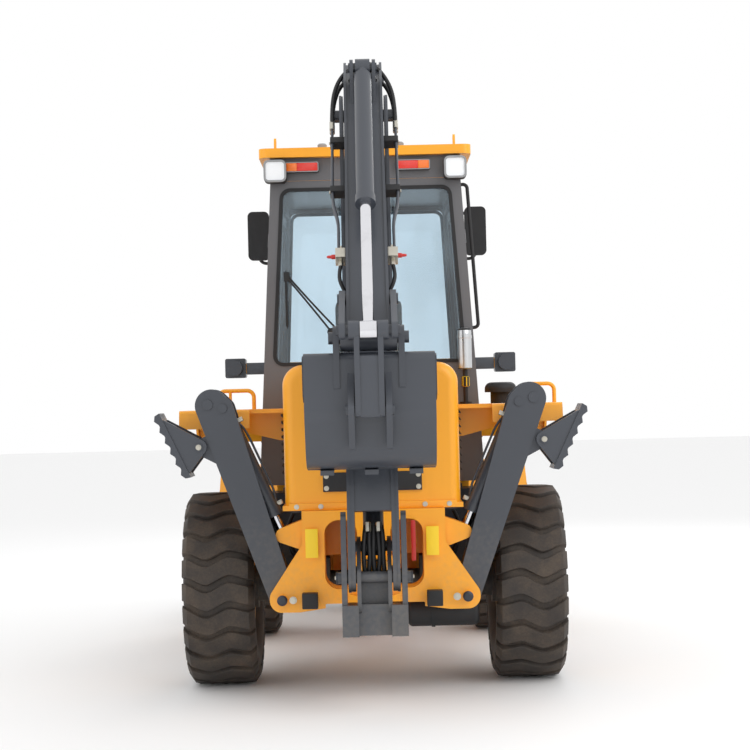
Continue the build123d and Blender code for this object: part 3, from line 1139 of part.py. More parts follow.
LINK_HALF = 75.0
GUIDE_LOW_X = DIPPER_HALF + 6


def make_guide_links() -> Part:
    """Two guide links from the dipper to the bucket ram, each with its half of the pin."""
    plate = belt("X", [(*GUIDE_PIN, 48), (*ROD_LINK_PIN, 46)], GUIDE_LOW_X, GUIDE_LOW_X + 32)
    plate = cut(plate, bar("X", *GUIDE_PIN, 30 + RUN_FIT, GUIDE_LOW_X - 5, GUIDE_LOW_X + 40))
    pin = bar("X", *ROD_LINK_PIN, BUCKET_RAM.pin, BUCKET_RAM.half + SEAT_GAP, GUIDE_LOW_X + 44)
    return Compound(children=both_sides(join(plate, pin)))


def make_power_link() -> Part:
    """Link from the bucket ram's pin to the bucket, with a middle web."""
    inner = BUCKET_RAM.half + 5
    bosses = [bar("X", *ROD_LINK_PIN, 50, inner, LINK_HALF + 27)]
    plate = belt("X", [(*ROD_LINK_PIN, 40), (*BUCKET_LINK_PIN, 36)][::-1], inner, LINK_HALF)
    hole = bar("X", *ROD_LINK_PIN, BUCKET_RAM.pin + RUN_FIT, inner - 5, LINK_HALF + 40)
    side = cut(join(plate, *bosses), hole)
    web = slab("X", beam_points(ROD_LINK_PIN, BUCKET_LINK_PIN, [
        (125, -30, 10), (gap_between(ROD_LINK_PIN, BUCKET_LINK_PIN) + 40, -30, 24),
        (gap_between(ROD_LINK_PIN, BUCKET_LINK_PIN) + 40, 30, 24), (125, 30, 10)]), -inner - 1, inner + 1)
    stub = bar("X", *BUCKET_LINK_PIN, 26, -LINK_HALF - 4, LINK_HALF + 4)
    return join(web, stub, *both_sides(side))


LEG_HALF_WIDTHS = (74.0, 95.0)
LEG_RAM_LENGTH = gap_between(LEG_RAM_PIN, LEG_RAM_EYE)


def leg_points(corners: list) -> list:
    """Corners (distance, offset, radius) along the right leg turned into (x, z, radius)."""
    return beam_points((LEG_PIN_X, LEG_PIN_Z), LEG_HEAD, corners)


def make_stabilizer_leg() -> Part:
    """Right stabilizer leg: a channel open towards its ram, with a clevis head and pad lug."""
    low, high = LEG_REAR_Y, LEG_FRONT_Y
    body = belt("Y", [(LEG_PIN_X, LEG_PIN_Z, 74), (*LEG_RAM_PIN, 62), (*LEG_HEAD, 95)][::-1], low, high)
    length = gap_between((LEG_PIN_X, LEG_PIN_Z), LEG_HEAD)
    channel = slab("Y", leg_points([(250, -56, 40), (1080, -72, 40), (1090, -400), (length + 300, -400),
                                    (length + 300, 400), (250, 400)]),
                   LEG_MIDDLE_Y - LEG_RAM_HALF - 24, LEG_MIDDLE_Y + LEG_RAM_HALF + 24)
    lug = belt("Y", [(*PAD_PIN, 42), (880, 1520, 40), (840, 1390, 40)], low + 10, high - 10)
    ram_pin = bar("Y", *LEG_RAM_PIN, 26, low - 8, high + 8)
    pad_pin = bar("Y", *PAD_PIN, 24, low - 36, high + 36)
    head_pin = bar("Y", LEG_HEAD[0] + 22, LEG_HEAD[1] + 6, 30, low - 8, low + 1)
    hole = bar("Y", LEG_PIN_X, LEG_PIN_Z, LEG_PIN_RADIUS + RUN_FIT, low - 5, high + 5)
    return cut(join(cut(body, channel), lug, ram_pin, pad_pin, head_pin), hole)


def leg_ram_at(distance: float) -> Vector:
    """Point on the axis of the right stabilizer's ram."""
    x, z = along(LEG_RAM_PIN, LEG_RAM_EYE, distance)
    return Vector(x, LEG_MIDDLE_Y, z)


def make_stabilizer_barrel() -> Part:
    """Barrel of the right stabilizer's ram on its pin in the leg."""
    low, high = LEG_MIDDLE_Y - LEG_RAM_HALF, LEG_MIDDLE_Y + LEG_RAM_HALF
    body = join(
        rod(leg_ram_at(70), leg_ram_at(690), 47), rod(leg_ram_at(26), leg_ram_at(80), 34),
        rod(leg_ram_at(640), leg_ram_at(690), 52), bar("Y", *LEG_RAM_PIN, 48, low, high),
    )
    return cut(body, rod(leg_ram_at(84), leg_ram_at(695), 28.4),
               bar("Y", *LEG_RAM_PIN, 26 + RUN_FIT, low - 5, high + 5))


def make_stabilizer_rod() -> Part:
    """Rod of the right stabilizer's ram with its eye and pin at the frame."""
    low, high = LEG_MIDDLE_Y - LEG_RAM_HALF, LEG_MIDDLE_Y + LEG_RAM_HALF
    return join(
        rod(leg_ram_at(130), leg_ram_at(LEG_RAM_LENGTH - 20), 28),
        bar("Y", *LEG_RAM_EYE, 40, low, high), bar("Y", *LEG_RAM_EYE, 22, low - 3, high + 3),
    )


def make_stabilizer_pad() -> Part:
    """Right stabilizer pad: toothed plate between two flanges on the leg's pin."""
    foot, head = (1078.0, 1280.0), (1253.0, 1650.0)
    length = gap_between(foot, head)
    teeth = 6
    pitch = length / teeth
    corners = [(0, 46)]
    for i in range(teeth):
        corners += [(pitch * (i + 0.12), 16), (pitch * (i + 0.55), 0), (pitch * (i + 0.95), 16)]
    corners += [(length, 46)]
    face = slab("Y", [along(foot, head, d, offset) for d, offset in corners],
                LEG_MIDDLE_Y - 125, LEG_MIDDLE_Y + 125)
    flanges = []
    for y in (LEG_REAR_Y - 30, LEG_FRONT_Y + 6):
        plate = belt("Y", [(*PAD_PIN, 46), (*along(foot, head, 40, 40), 18),
                           (*along(foot, head, length - 60, 40), 18)], y, y + 24)
        flanges.append(cut(plate, bar("Y", *PAD_PIN, 24 + RUN_FIT, y - 5, y + 29)))
    return join(face, *flanges)


def make_air_tank() -> Part:
    """Air reservoir that hangs across the frame on the right."""
    y, z = REAR_AXLE_Y - 460.0, 470.0
    tank = bar("X", y, z, 96, 190, 610)
    tank = tank.fillet(30, tank.edges().filter_by(GeomType.CIRCLE))
    low, high = RAIL_OUT_X + SEAT_GAP, RAIL_OUT_X + 20
    strap = join(bar("X", y, z, 102, low, high), block(low, high, y - 40, y + 40, z, 660))
    return join(tank, strap)


def placed(solid: Part, x: float, y: float, z: float) -> Part:
    """The solid moved from the origin to a place."""
    return Pos(x, y, z) * solid


def make_nodes() -> dict:
    """Every node's solid by name."""
    nodes = {
        "rear_frame": join(make_rear_frame(), make_cab_beam()),
        "backhoe_frame": make_backhoe_frame(),
        "rear_axle": make_axle(REAR_AXLE_Y),
        "engine_block": make_engine(),
        "engine_hood": make_hood(),
        "body_skirt": make_body_base(),
        "rear_fenders": make_fenders(),
        "fender_rails": make_fender_rails(),
        "cab_shell": make_cab_shell(),
        "cab_roof": make_roof(),
        "cab_glass": make_cab_glass(),
        "cab_lamps": make_cab_lamps(),
        "cab_interior": make_cab_interior(),
        "side_tanks": make_side_tanks(),
        "service_fittings": Compound(children=[*make_service_fittings().solids(), make_air_tank()]),
        "mirrors": make_mirrors(),
        "front_frame": make_front_frame(),
        "front_axle": make_axle(FRONT_AXLE_Y),
        "front_fenders": make_front_fenders(),
        "head_lamps": make_head_lamps(),
        "loader_arms": make_loader_arms(),
        "loader_bucket": make_loader_bucket(),
        "tilt_lever": make_tilt_lever(),
        "tilt_link": make_tilt_link(),
        "tilt_barrel": TILT_RAM.make_barrel(),
        "tilt_rod": TILT_RAM.make_rod(110, 1, 1),
        "lift_barrels": Compound(children=both_sides(LIFT_RAM.make_barrel())),
        "lift_rods": Compound(children=both_sides(LIFT_RAM.make_rod(100, 34, 10))),
        "swing_post": make_swing_post(),
        "boom": make_boom(),
        "dipper": make_dipper(),
        "backhoe_bucket": make_backhoe_bucket(),
        "guide_links": make_guide_links(),
        "power_link": make_power_link(),
        "boom_barrel": BOOM_RAM.make_barrel(),
        "boom_rod": BOOM_RAM.make_rod(200, 4, 4),
        "dipper_barrel": DIPPER_RAM.make_barrel(),
        "dipper_rod": DIPPER_RAM.make_rod(690, 4, 4),
        "bucket_barrel": BUCKET_RAM.make_barrel(),
        "bucket_rod": BUCKET_RAM.make_rod(980),
    }
    for name, side in (("left", -1), ("right", 1)):
        nodes[f"door_{name}"] = make_door(side)
        nodes[f"door_glass_{name}"] = make_door_glass(side)
        for end, y in (("rear", REAR_AXLE_Y), ("front", FRONT_AXLE_Y)):
            nodes[f"tyre_{end}_{name}"] = placed(make_tyre(side), side * WHEEL_X, y, AXLE_Z)
            nodes[f"rim_{end}_{name}"] = placed(make_rim(side), side * WHEEL_X, y, AXLE_Z)
    legs = {
        "stabilizer_leg": make_stabilizer_leg(),
        "stabilizer_barrel": make_stabilizer_barrel(),
        "stabilizer_rod": make_stabilizer_rod(),
        "stabilizer_pad": make_stabilizer_pad(),
    }
    for name, solid in legs.items():
        nodes[f"{name}_right"] = solid
        nodes[f"{name}_left"] = solid.mirror(Plane.YZ)
    return nodes


def main() -> None:
    """Write one file per node."""
    os.makedirs("parts", exist_ok=True)
    for name, solid in make_nodes().items():
        export_step(solid, f"parts/{name}.step")


if __name__ == "__main__":
    main()
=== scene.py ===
"""Looks of an articulated backhoe loader, in metres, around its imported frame.

The machine stands folded for the road and is seen squarely from behind.
"""
from __future__ import annotations

import json
import logging
import math
from dataclasses import dataclass, field
from enum import Enum

import bmesh
import bpy
from mathutils import Matrix, Vector


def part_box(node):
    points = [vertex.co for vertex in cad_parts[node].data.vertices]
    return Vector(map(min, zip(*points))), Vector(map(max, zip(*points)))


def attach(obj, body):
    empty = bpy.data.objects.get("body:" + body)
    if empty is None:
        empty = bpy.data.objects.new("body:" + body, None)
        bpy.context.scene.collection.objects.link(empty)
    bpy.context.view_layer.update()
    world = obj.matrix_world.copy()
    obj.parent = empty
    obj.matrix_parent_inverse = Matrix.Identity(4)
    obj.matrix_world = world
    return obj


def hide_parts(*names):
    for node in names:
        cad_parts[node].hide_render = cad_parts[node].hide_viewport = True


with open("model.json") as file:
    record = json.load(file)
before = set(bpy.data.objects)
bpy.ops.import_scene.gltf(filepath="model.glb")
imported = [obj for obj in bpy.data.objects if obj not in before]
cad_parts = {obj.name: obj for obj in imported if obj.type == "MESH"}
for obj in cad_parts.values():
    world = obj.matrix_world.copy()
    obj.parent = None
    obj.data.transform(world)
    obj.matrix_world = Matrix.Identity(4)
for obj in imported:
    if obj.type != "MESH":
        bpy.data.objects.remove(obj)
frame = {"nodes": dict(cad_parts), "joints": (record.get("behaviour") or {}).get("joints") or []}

LOG = logging.getLogger("backhoe_loader")
SHARP_ANGLE = math.radians(38)
SIDES = (-1, 1)
WHEELS = ("rear_left", "rear_right", "front_left", "front_right")
REARWARD = (0, -1, 0)
ALONG = Vector((0, 1, 0))
WHITE = (1.0, 1.0, 1.0, 1.0)
Pair = tuple[float, float]
Place = tuple[float, float, float]
Colour = tuple[float, float, float, float]


def linear(red: int, green: int, blue: int) -> Colour:
    """Linear colour of an 8-bit display colour.

    Args:
        red: Red, 0 to 255.
        green: Green, 0 to 255.
        blue: Blue, 0 to 255.

    Returns:
        The colour as linear light with full cover.
    """
    parts = []
    for value in (red, green, blue):
        share = value / 255
        parts.append(share / 12.92 if share <= 0.04045 else ((share + 0.055) / 1.055) ** 2.4)
    return (parts[0], parts[1], parts[2], 1.0)


def toned(colour: Colour, factor: float, lift: float = 0.0) -> Colour:
    """Colour made darker or paler by a factor and a lift."""
    red, green, blue = (min(1.0, part * factor + lift) for part in colour[:3])
    return (red, green, blue, 1.0)


class Signal:
    """A value that varies over a surface or a tree, whose operators add Math nodes."""

    def __init__(self, graph: Graph, socket: bpy.types.NodeSocket) -> None:
        """Wrap an output socket of a graph."""
        self.graph = graph
        self.socket = socket

    def math(self, operation: str, first: Signal | float, second: Signal | float) -> Signal:
        """Math node of two values."""
        made = self.graph.node("ShaderNodeMath", {"operation": operation}, {0: first, 1: second})
        return Signal(self.graph, made.outputs[0])

    def __add__(self, other: Signal | float) -> Signal:
        """Sum."""
        return self.math("ADD", self, other)

    def __sub__(self, other: Signal | float) -> Signal:
        """Difference."""
        return self.math("SUBTRACT", self, other)

    def __rsub__(self, other: float) -> Signal:
        """Difference from a number."""
        return self.math("SUBTRACT", other, self)

    def __mul__(self, other: Signal | float) -> Signal:
        """Product."""
        return self.math("MULTIPLY", self, other)

    __radd__ = __add__
    __rmul__ = __mul__

    def clear_of(self, low: float, high: float) -> Signal:
        """Share of the way from low to high, held between 0 and 1.

        Args:
            low: Value that gives 0.
            high: Value that gives 1.

        Returns:
            The share as a value of the same graph.
        """
        made = self.graph.node(
            "ShaderNodeMapRange",
            {"interpolation_type": "SMOOTHSTEP"},
            {"Value": self, "From Min": low, "From Max": high},
        )
        return Signal(self.graph, made.outputs["Result"])


class Graph:
    """Node tree, all of whose nodes come from one method."""

    def __init__(self, tree: bpy.types.NodeTree) -> None:
        """Wrap a tree."""
        self.tree = tree

    def node(self, kind: str, settings: dict | None = None, inputs: dict | None = None) -> bpy.types.Node:
        """Add a node.

        Args:
            kind: The node's type.
            settings: Its own settings, which are set first.
            inputs: Values or links of its sockets, by name or number.

        Returns:
            The node.
        """
        made = self.tree.nodes.new(kind)
        for key, value in (settings or {}).items():
            setattr(made, key, value)
        for key, value in (inputs or {}).items():
            if isinstance(value, Signal):
                value = value.socket
            if isinstance(value, bpy.types.NodeSocket):
                self.tree.links.new(value, made.inputs[key])
            else:
                made.inputs[key].default_value = value
        return made


class Surface(Graph):
    """Node tree of one material."""

    def __init__(self, name: str) -> None:
        """Start an empty material of that name."""
        self.material = bpy.data.materials.new(name)
        self.material.use_nodes = True
        super().__init__(self.material.node_tree)
        self.tree.nodes.clear()

    def place(self, stretch: Place = (1.0, 1.0, 1.0)) -> bpy.types.NodeSocket:
        """Object coordinates, stretched along each axis."""
        source = self.node("ShaderNodeTexCoord").outputs["Object"]
        return self.node("ShaderNodeMapping", None, {"Vector": source, "Scale": stretch}).outputs[0]

    def height(self) -> Signal:
        """Height above the floor in metres."""
        source = self.node("ShaderNodeTexCoord").outputs["Object"]
        return Signal(self, self.node("ShaderNodeSeparateXYZ", None, {0: source}).outputs["Z"])

    def noise(self, scale: float, detail: float = 3.0, stretch: Place = (1.0, 1.0, 1.0)) -> Signal:
        """Soft noise with about that many blots to the metre."""
        inputs = {"Vector": self.place(stretch), "Scale": scale, "Detail": detail}
        return Signal(self, self.node("ShaderNodeTexNoise", None, inputs).outputs[0])

    def blend(self, share: Signal, first: Colour | bpy.types.NodeSocket,
              second: Colour | bpy.types.NodeSocket) -> bpy.types.NodeSocket:
        """Colour that goes from first to second with share."""
        made = self.node("ShaderNodeMix", {"data_type": "RGBA"}, {0: share, 6: first, 7: second})
        return made.outputs[2]

    def bump(self, height: Signal, depth: float, strength: float) -> bpy.types.NodeSocket:
        """Normal of a relief that is depth metres deep."""
        inputs = {"Height": height, "Distance": depth, "Strength": strength}
        return self.node("ShaderNodeBump", None, inputs).outputs[0]

    def close(self, shader: bpy.types.NodeSocket) -> bpy.types.Material:
        """End the tree in a shader."""
        self.node("ShaderNodeOutputMaterial", None, {"Surface": shader})
        return self.material

    def finish(self, inputs: dict) -> bpy.types.Material:
        """End the tree in one Principled shader with those values or links."""
        return self.close(self.node("ShaderNodeBsdfPrincipled", None, inputs).outputs[0])


@dataclass(frozen=True)
class Paint:
    """Sprayed paint with dust low down, faint streaks and small chips."""

    name: str
    colour: Colour
    dust: Colour = linear(150, 138, 118)
    roughness: float = 0.32
    coat: float = 0.5
    coat_roughness: float = 0.2
    dust_share: float = 0.35
    dusty_height: Pair = (0.25, 1.5)
    dust_edge: Pair = (0.78, 1.45)
    streaks: float = 0.08
    streak_stretch: Place = (4.0, 4.0, 0.5)
    chips: float = 0.0
    chip_edge: Pair = (0.66, 0.69)
    chip_colour: Colour = linear(96, 92, 88)
    peel_depth: float = 0.0002

    def build(self) -> bpy.types.Material:
        """Make the material."""
        graph = Surface(self.name)
        blots = graph.noise(2.2, 4.0)
        grain = graph.noise(38.0, 5.0)
        low = 1 - graph.height().clear_of(*self.dusty_height)
        dust = (blots * 0.7 + grain * 0.5 + low * 0.55).clear_of(*self.dust_edge) * self.dust_share
        runs = graph.noise(6.0, 3.0, self.streak_stretch).clear_of(0.5, 0.75) * self.streaks
        shade = runs + blots.clear_of(0.35, 0.8) * 0.12
        colour = graph.blend(shade, self.colour, toned(self.colour, 0.8))
        colour = graph.blend(dust, colour, self.dust)
        wear = (graph.noise(23.0, 6.0) * 0.6 + graph.noise(5.0, 2.0) * 0.4).clear_of(*self.chip_edge)
        colour = graph.blend(wear * self.chips, colour, self.chip_colour)
        return graph.finish({
            "Base Color": colour,
            "Roughness": dust * 0.45 + grain * 0.1 + self.roughness,
            "Coat Weight": self.coat,
            "Coat Roughness": self.coat_roughness,
            "Normal": graph.bump(graph.noise(420.0, 1.0), self.peel_depth, 0.35),
        })


@dataclass(frozen=True)
class Rubber:
    """Tyre rubber, brown-black with dried mud in its grooves."""

    name: str
    colour: Colour = linear(52, 46, 42)
    worn_colour: Colour = linear(38, 34, 32)
    mud: Colour = linear(104, 90, 76)
    mud_share: float = 0.55
    roughness: float = 0.66
    relief_depth: float = 0.0018

    def build(self) -> bpy.types.Material:
        """Make the material."""
        graph = Surface(self.name)
        blots = graph.noise(7.0, 5.0)
        grain = graph.noise(90.0, 6.0)
        mud = (blots * 0.8 + grain * 0.35).clear_of(0.42, 0.85) * self.mud_share
        colour = graph.blend(mud, self.colour, self.mud)
        worn = graph.noise(30.0, 3.0).clear_of(0.5, 0.8) * 0.3
        relief = grain * 0.6 + graph.noise(260.0, 3.0) * 0.4
        return graph.finish({
            "Base Color": graph.blend(worn, colour, self.worn_colour),
            "Roughness": mud * 0.25 + self.roughness,
            "Normal": graph.bump(relief, self.relief_depth, 0.6),
        })


@dataclass(frozen=True)
class Plastic:
    """Moulded plastic or rubber trim with a fine grain."""

    name: str
    colour: Colour
    roughness: float = 0.5
    grain: float = 0.0004

    def build(self) -> bpy.types.Material:
        """Make the material."""
        graph = Surface(self.name)
        blots = graph.noise(9.0, 4.0)
        pale = toned(self.colour, 1.35, 0.01)
        return graph.finish({
            "Base Color": graph.blend(blots.clear_of(0.4, 0.8) * 0.5, self.colour, pale),
            "Roughness": blots * 0.2 + self.roughness,
            "Normal": graph.bump(graph.noise(700.0, 2.0), self.grain, 0.5),
        })


@dataclass(frozen=True)
class Metal:
    """Bare or plated metal."""

    name: str
    colour: Colour
    grime: Colour = linear(70, 62, 54)
    roughness: float = 0.18
    dirt: float = 0.15
    relief: float = 0.0001

    def build(self) -> bpy.types.Material:
        """Make the material."""
        graph = Surface(self.name)
        blots = graph.noise(11.0, 5.0)
        grime = blots.clear_of(0.5, 0.8) * self.dirt
        return graph.finish({
            "Base Color": graph.blend(grime, self.colour, self.grime),
            "Metallic": 1 - grime * 0.5,
            "Roughness": grime * 0.6 + blots * 0.06 + self.roughness,
            "Normal": graph.bump(graph.noise(300.0, 2.0), self.relief, 0.4),
        })


@dataclass(frozen=True)
class Glazing:
    """Tinted safety glass with pale blue hazy patches: partly a faint film of dust, partly painted reflection
    of a cloudy sky.
    """

    name: str
    tint: Colour = linear(240, 247, 251)
    # Pale blue of the hazy patches: partly dust, partly painted sky reflection.
    dust_and_reflection: Colour = linear(206, 230, 244)
    dust_and_reflection_share: float = 0.2
    roughness: float = 0.03
    bending: float = 1.5

    def build(self) -> bpy.types.Material:
        """Make the material."""
        graph = Surface(self.name)

        def part(kind: str, inputs: dict) -> bpy.types.NodeSocket:
            """First output of a shader node."""
            return graph.node(f"ShaderNode{kind}", None, inputs).outputs[0]

        # Mask of the hazy patches: painted reflection of a cloudy sky, partly a dust film.
        dust_and_reflection = graph.noise(1.6, 3.0, (1.0, 1.0, 0.6)).clear_of(0.3, 0.8) * self.dust_and_reflection_share
        clear = part("BsdfTransparent", {"Color": self.tint})
        hazy = part("BsdfDiffuse", {"Color": self.dust_and_reflection})
        gloss = part("BsdfGlossy", {"Color": WHITE, "Roughness": self.roughness})
        bare = part("MixShader", {0: dust_and_reflection, 1: clear, 2: hazy})
        edge = part("Fresnel", {"IOR": self.bending})
        return graph.close(part("MixShader", {0: edge, 1: bare, 2: gloss}))


@dataclass(frozen=True)
class Lens:
    """Coloured lamp lens with moulded ribs, whose colour carries painted shade along the ribs."""

    name: str
    colour: Colour
    ribs: float = 90.0
    rib_depth: float = 0.001
    coat: float = 0.6
    glow: float = 0.0

    def build(self) -> bpy.types.Material:
        """Make the material."""
        graph = Surface(self.name)
        source = graph.place((self.ribs, self.ribs, self.ribs))
        wave = graph.node("ShaderNodeTexWave", {"bands_direction": "X"}, {"Vector": source, "Scale": 1.0})
        relief = Signal(graph, wave.outputs[1])
        return graph.finish({
            # The colour darkens with the rib relief: painted shade of the ribs.
            "Base Color": graph.blend(relief * 0.5, self.colour, toned(self.colour, 0.45)),
            "Roughness": relief * 0.1 + 0.12,
            "Coat Weight": self.coat,
            "Normal": graph.bump(relief, self.rib_depth, 0.6),
            "Emission Color": self.colour,
            "Emission Strength": self.glow,
        })


class Finish(Enum):
    """Every finish of the machine."""

    YELLOW = Paint("yellow_paint_finish", linear(255, 172, 24), roughness=0.4, coat=0.3)
    SLATE = Paint("slate_paint_finish", linear(60, 64, 72), roughness=0.36, coat=0.35,
                  dust_share=0.3, chips=0.25)
    CAB = Paint("cab_paint_finish", linear(98, 98, 101), roughness=0.4, coat=0.3, dust_share=0.2)
    CASTING = Paint("casting_finish", linear(58, 58, 60), roughness=0.6, coat=0.0, dust_share=0.6)
    RIM = Paint("rim_paint_finish", linear(240, 172, 50), dust_share=0.7)
    PLATE = Paint("plate_finish", linear(255, 214, 20), roughness=0.35, coat=0.3, dust_share=0.1)
    RED = Paint("red_paint_finish", linear(190, 30, 24), roughness=0.35, coat=0.3, dust_share=0.3)
    TYRE = Rubber("tyre_rubber_finish")
    BLACK = Plastic("black_plastic_finish", linear(28, 28, 30))
    HOSE = Plastic("hose_rubber_finish", linear(22, 22, 24), roughness=0.42)
    SEAT = Plastic("seat_fabric_finish", linear(54, 57, 60), roughness=0.85, grain=0.0012)
    GREY = Plastic("grey_plastic_finish", linear(150, 152, 154))
    CHROME = Metal("rod_chrome_finish", linear(226, 226, 230), roughness=0.12, dirt=0.1)
    STEEL = Metal("zinc_steel_finish", linear(196, 192, 180), roughness=0.3)
    PIN = Metal("pin_steel_finish", linear(74, 76, 82), roughness=0.42, dirt=0.5)
    SILVER = Metal("silver_case_finish", linear(208, 210, 212), roughness=0.25, dirt=0.1)
    GLASS = Glazing("window_glass_finish")
    RED_LENS = Lens("red_lens_finish", linear(226, 40, 22), glow=0.15)
    AMBER_LENS = Lens("amber_lens_finish", linear(250, 120, 20), glow=0.15)
    CLEAR_LENS = Lens("clear_lens_finish", linear(236, 238, 240), ribs=60.0, glow=0.3)

    @property
    def material(self) -> bpy.types.Material:
        """The finish's material, made at its first use."""
        return bpy.data.materials.get(self.value.name) or self.value.build()


SLOTS = {
    Finish.YELLOW: "yellow_paint", Finish.SLATE: "slate_paint", Finish.CAB: "cab_paint",
    Finish.TYRE: "tyre_rubber", Finish.RIM: "rim_paint", Finish.CHROME: "rod_chrome",
    Finish.GLASS: "window_glass", Finish.RED_LENS: "lamp_plastic", Finish.AMBER_LENS: "lamp_plastic",
    Finish.CLEAR_LENS: "lamp_plastic", Finish.CASTING: "plain_casting", Finish.PLATE: "yellow_paint",
}


def pin(joint: str) -> Vector:
    """Place of a joint's axis at rest."""
    return Vector(next(j for j in frame["joints"] if j["name"] == joint)["pos_m"])


def both(name: str) -> tuple[str, str]:
    """Names of a node's left and right copies."""
    return (f"{name}_left", f"{name}_right")


def turns(count: int) -> list[float]:
    """Angles of evenly spread places round a circle."""
    return [2 * math.pi * i / count for i in range(count)]


class Piece:
    """Mesh of one piece while it is built, in the machine's frame."""

    def __init__(self, name: str) -> None:
        """Start an empty piece of that name."""
        self.name = name
        self.mesh = bmesh.new()

    def ring(self, places: list[Vector]) -> list[bmesh.types.BMVert]:
        """Add a row of points."""
        return [self.mesh.verts.new(place) for place in places]

    def skin(self, rings: list[list[bmesh.types.BMVert]], closed: bool = False) -> None:
        """Add faces between rings that follow each other.

        Args:
            rings: Rings, all with the same count of points.
            closed: Whether the last ring joins the first one.
        """
        ahead = rings[1:] + rings[:1] if closed else rings[1:]
        for here, there in zip(rings, ahead):
            for i in range(len(here)):
                j = (i + 1) % len(here)
                self.mesh.faces.new((here[i], here[j], there[j], there[i]))

    def cap(self, rings: list[list[bmesh.types.BMVert]]) -> None:
        """Close the first and the last ring with a face."""
        self.mesh.faces.new(list(reversed(rings[0])))
        self.mesh.faces.new(rings[-1])

    def turned(self, start: Place, end: Place, profile: list[Pair], sides: int = 24) -> None:
        """Add a solid turned about the line from start to end.

        Args:
            start: Point where distances begin.
            end: Point that the axis runs to.
            profile: Corners as (distance from start, radius).
            sides: Faces round the solid.
        """
        origin = Vector(start)
        axis = (Vector(end) - origin).normalized()
        across = axis.orthogonal().normalized()
        other = axis.cross(across)
        ways = [across * math.cos(angle) + other * math.sin(angle) for angle in turns(sides)]
        rings = [self.ring([origin + axis * distance + way * radius for way in ways])
                 for distance, radius in profile]
        self.skin(rings)
        self.cap(rings)

    def cylinder(self, start: Place, end: Place, radius: float, sides: int = 24,
                 chamfer: float = 0.0) -> None:
        """Add a round bar.

        Args:
            start: Middle of one end.
            end: Middle of the other end.
            radius: Radius of the bar.
            sides: Faces round the bar.
            chamfer: Width of the chamfers at its ends.
        """
        length = (Vector(end) - Vector(start)).length
        edge = min(chamfer, length / 3, radius / 2)
        profile = [(0.0, radius - edge), (edge, radius), (length - edge, radius), (length, radius - edge)]
        self.turned(start, end, profile if edge else [(0.0, radius), (length, radius)], sides)

    def prism(self, axis: str, corners: list[Pair], one: float, other: float, bevel: float = 0.0) -> None:
        """Add a plate of the given outline, square to an axis.

        Args:
            axis: X takes corners (y, z), Y takes (x, z) and Z takes (x, y).
            corners: Outline.
            one: One face along the axis.
            other: The other face along the axis.
            bevel: Width of the rounded edges.
        """
        def lifted(level: float, u: float, v: float) -> Vector:
            """Place of an outline's corner on a face."""
            return Vector({"X": (level, u, v), "Y": (u, level, v), "Z": (u, v, level)}[axis])

        low, high = sorted((one, other))
        near = self.ring([lifted(low, u, v) for u, v in corners])
        far = self.ring([lifted(high, u, v) for u, v in corners])
        faces = [self.mesh.faces.new(near), self.mesh.faces.new(list(reversed(far)))]
        for i in range(len(corners)):
            j = (i + 1) % len(corners)
            faces.append(self.mesh.faces.new((near[j], near[i], far[i], far[j])))
        if bevel:
            edges = list({edge for face in faces for edge in face.edges})
            bmesh.ops.bevel(self.mesh, geom=edges, offset=bevel, segments=2, profile=0.6, affect="EDGES")

    def box(self, one: Place, other: Place, bevel: float = 0.0) -> None:
        """Add a block between two opposite corners."""
        (x0, x1), (y0, y1), (z0, z1) = (sorted(ends) for ends in zip(one, other))
        self.prism("Z", [(x0, y0), (x1, y0), (x1, y1), (x0, y1)], z0, z1, bevel)

    def tube(self, points: list[Place], radius: float) -> None:
        """Add a smooth round tube along a spline.

        Args:
            points: Control points of the spline.
            radius: Radius of the tube.
        """
        curve = bpy.data.curves.new("path", "CURVE")
        curve.dimensions = "3D"
        curve.bevel_depth = radius
        curve.bevel_resolution = 4
        curve.use_fill_caps = True
        spline = curve.splines.new("NURBS")
        spline.points.add(len(points) - 1)
        for place, point in zip(points, spline.points):
            point.co = (*place, 1.0)
        spline.order_u = 3
        spline.use_endpoint_u = True
        spline.resolution_u = 6
        holder = bpy.data.objects.new("path", curve)
        made = bpy.data.meshes.new_from_object(holder)
        self.mesh.from_mesh(made)
        bpy.data.meshes.remove(made)
        bpy.data.objects.remove(holder)
        bpy.data.curves.remove(curve)

    def rim(self, path: list[Vector], out_of: Vector, width: float, depth: float) -> None:
        """Add a flat-sided trim that runs round a closed path.

        Args:
            path: Points of the trim's inner edge, in order.
            out_of: Direction square to the path's plane.
            width: Width of the trim in the plane.
            depth: Height of the trim out of the plane, half to each side.
        """
        middle = sum(path, Vector()) / len(path)
        half = out_of * (depth / 2)
        rings = []
        for i, point in enumerate(path):
            run = (path[(i + 1) % len(path)] - path[i - 1]).normalized()
            out = run.cross(out_of).normalized()
            if out.dot(point - middle) < 0:
                out = -out
            wide = out * width
            rings.append(self.ring([point - half, point + wide - half, point + wide + half, point + half]))
        self.skin(rings, closed=True)

    def done(self, body: str, finish: Finish) -> bpy.types.Object:
        """Turn the mesh into a dressed piece that rides on a body.

        Args:
            body: The body that carries it.
            finish: Its finish.

        Returns:
            The piece.
        """
        bmesh.ops.recalc_face_normals(self.mesh, faces=self.mesh.faces)
        mesh = bpy.data.meshes.new(self.name)
        self.mesh.to_mesh(mesh)
        self.mesh.free()
        mesh.polygons.foreach_set("use_smooth", [True] * len(mesh.polygons))
        mesh.set_sharp_from_angle(angle=SHARP_ANGLE)
        mesh.materials.clear()
        mesh.materials.append(finish.material)
        return carried(self.name, mesh, body, finish)


def carried(name: str, mesh: bpy.types.Mesh, body: str, finish: Finish) -> bpy.types.Object:
    """Object of a finished mesh that rides on a body.

    Args:
        name: The piece's name.
        mesh: Its mesh, in place.
        body: The body that carries it.
        finish: Its finish; its slot name is looked up but not used.

    Returns:
        The piece.
    """
    piece = bpy.data.objects.new(name, mesh)
    bpy.context.scene.collection.objects.link(piece)
    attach(piece, body)
    SLOTS.get(finish, "black_plastic")
    LOG.info("%s on %s", name, body)
    return piece


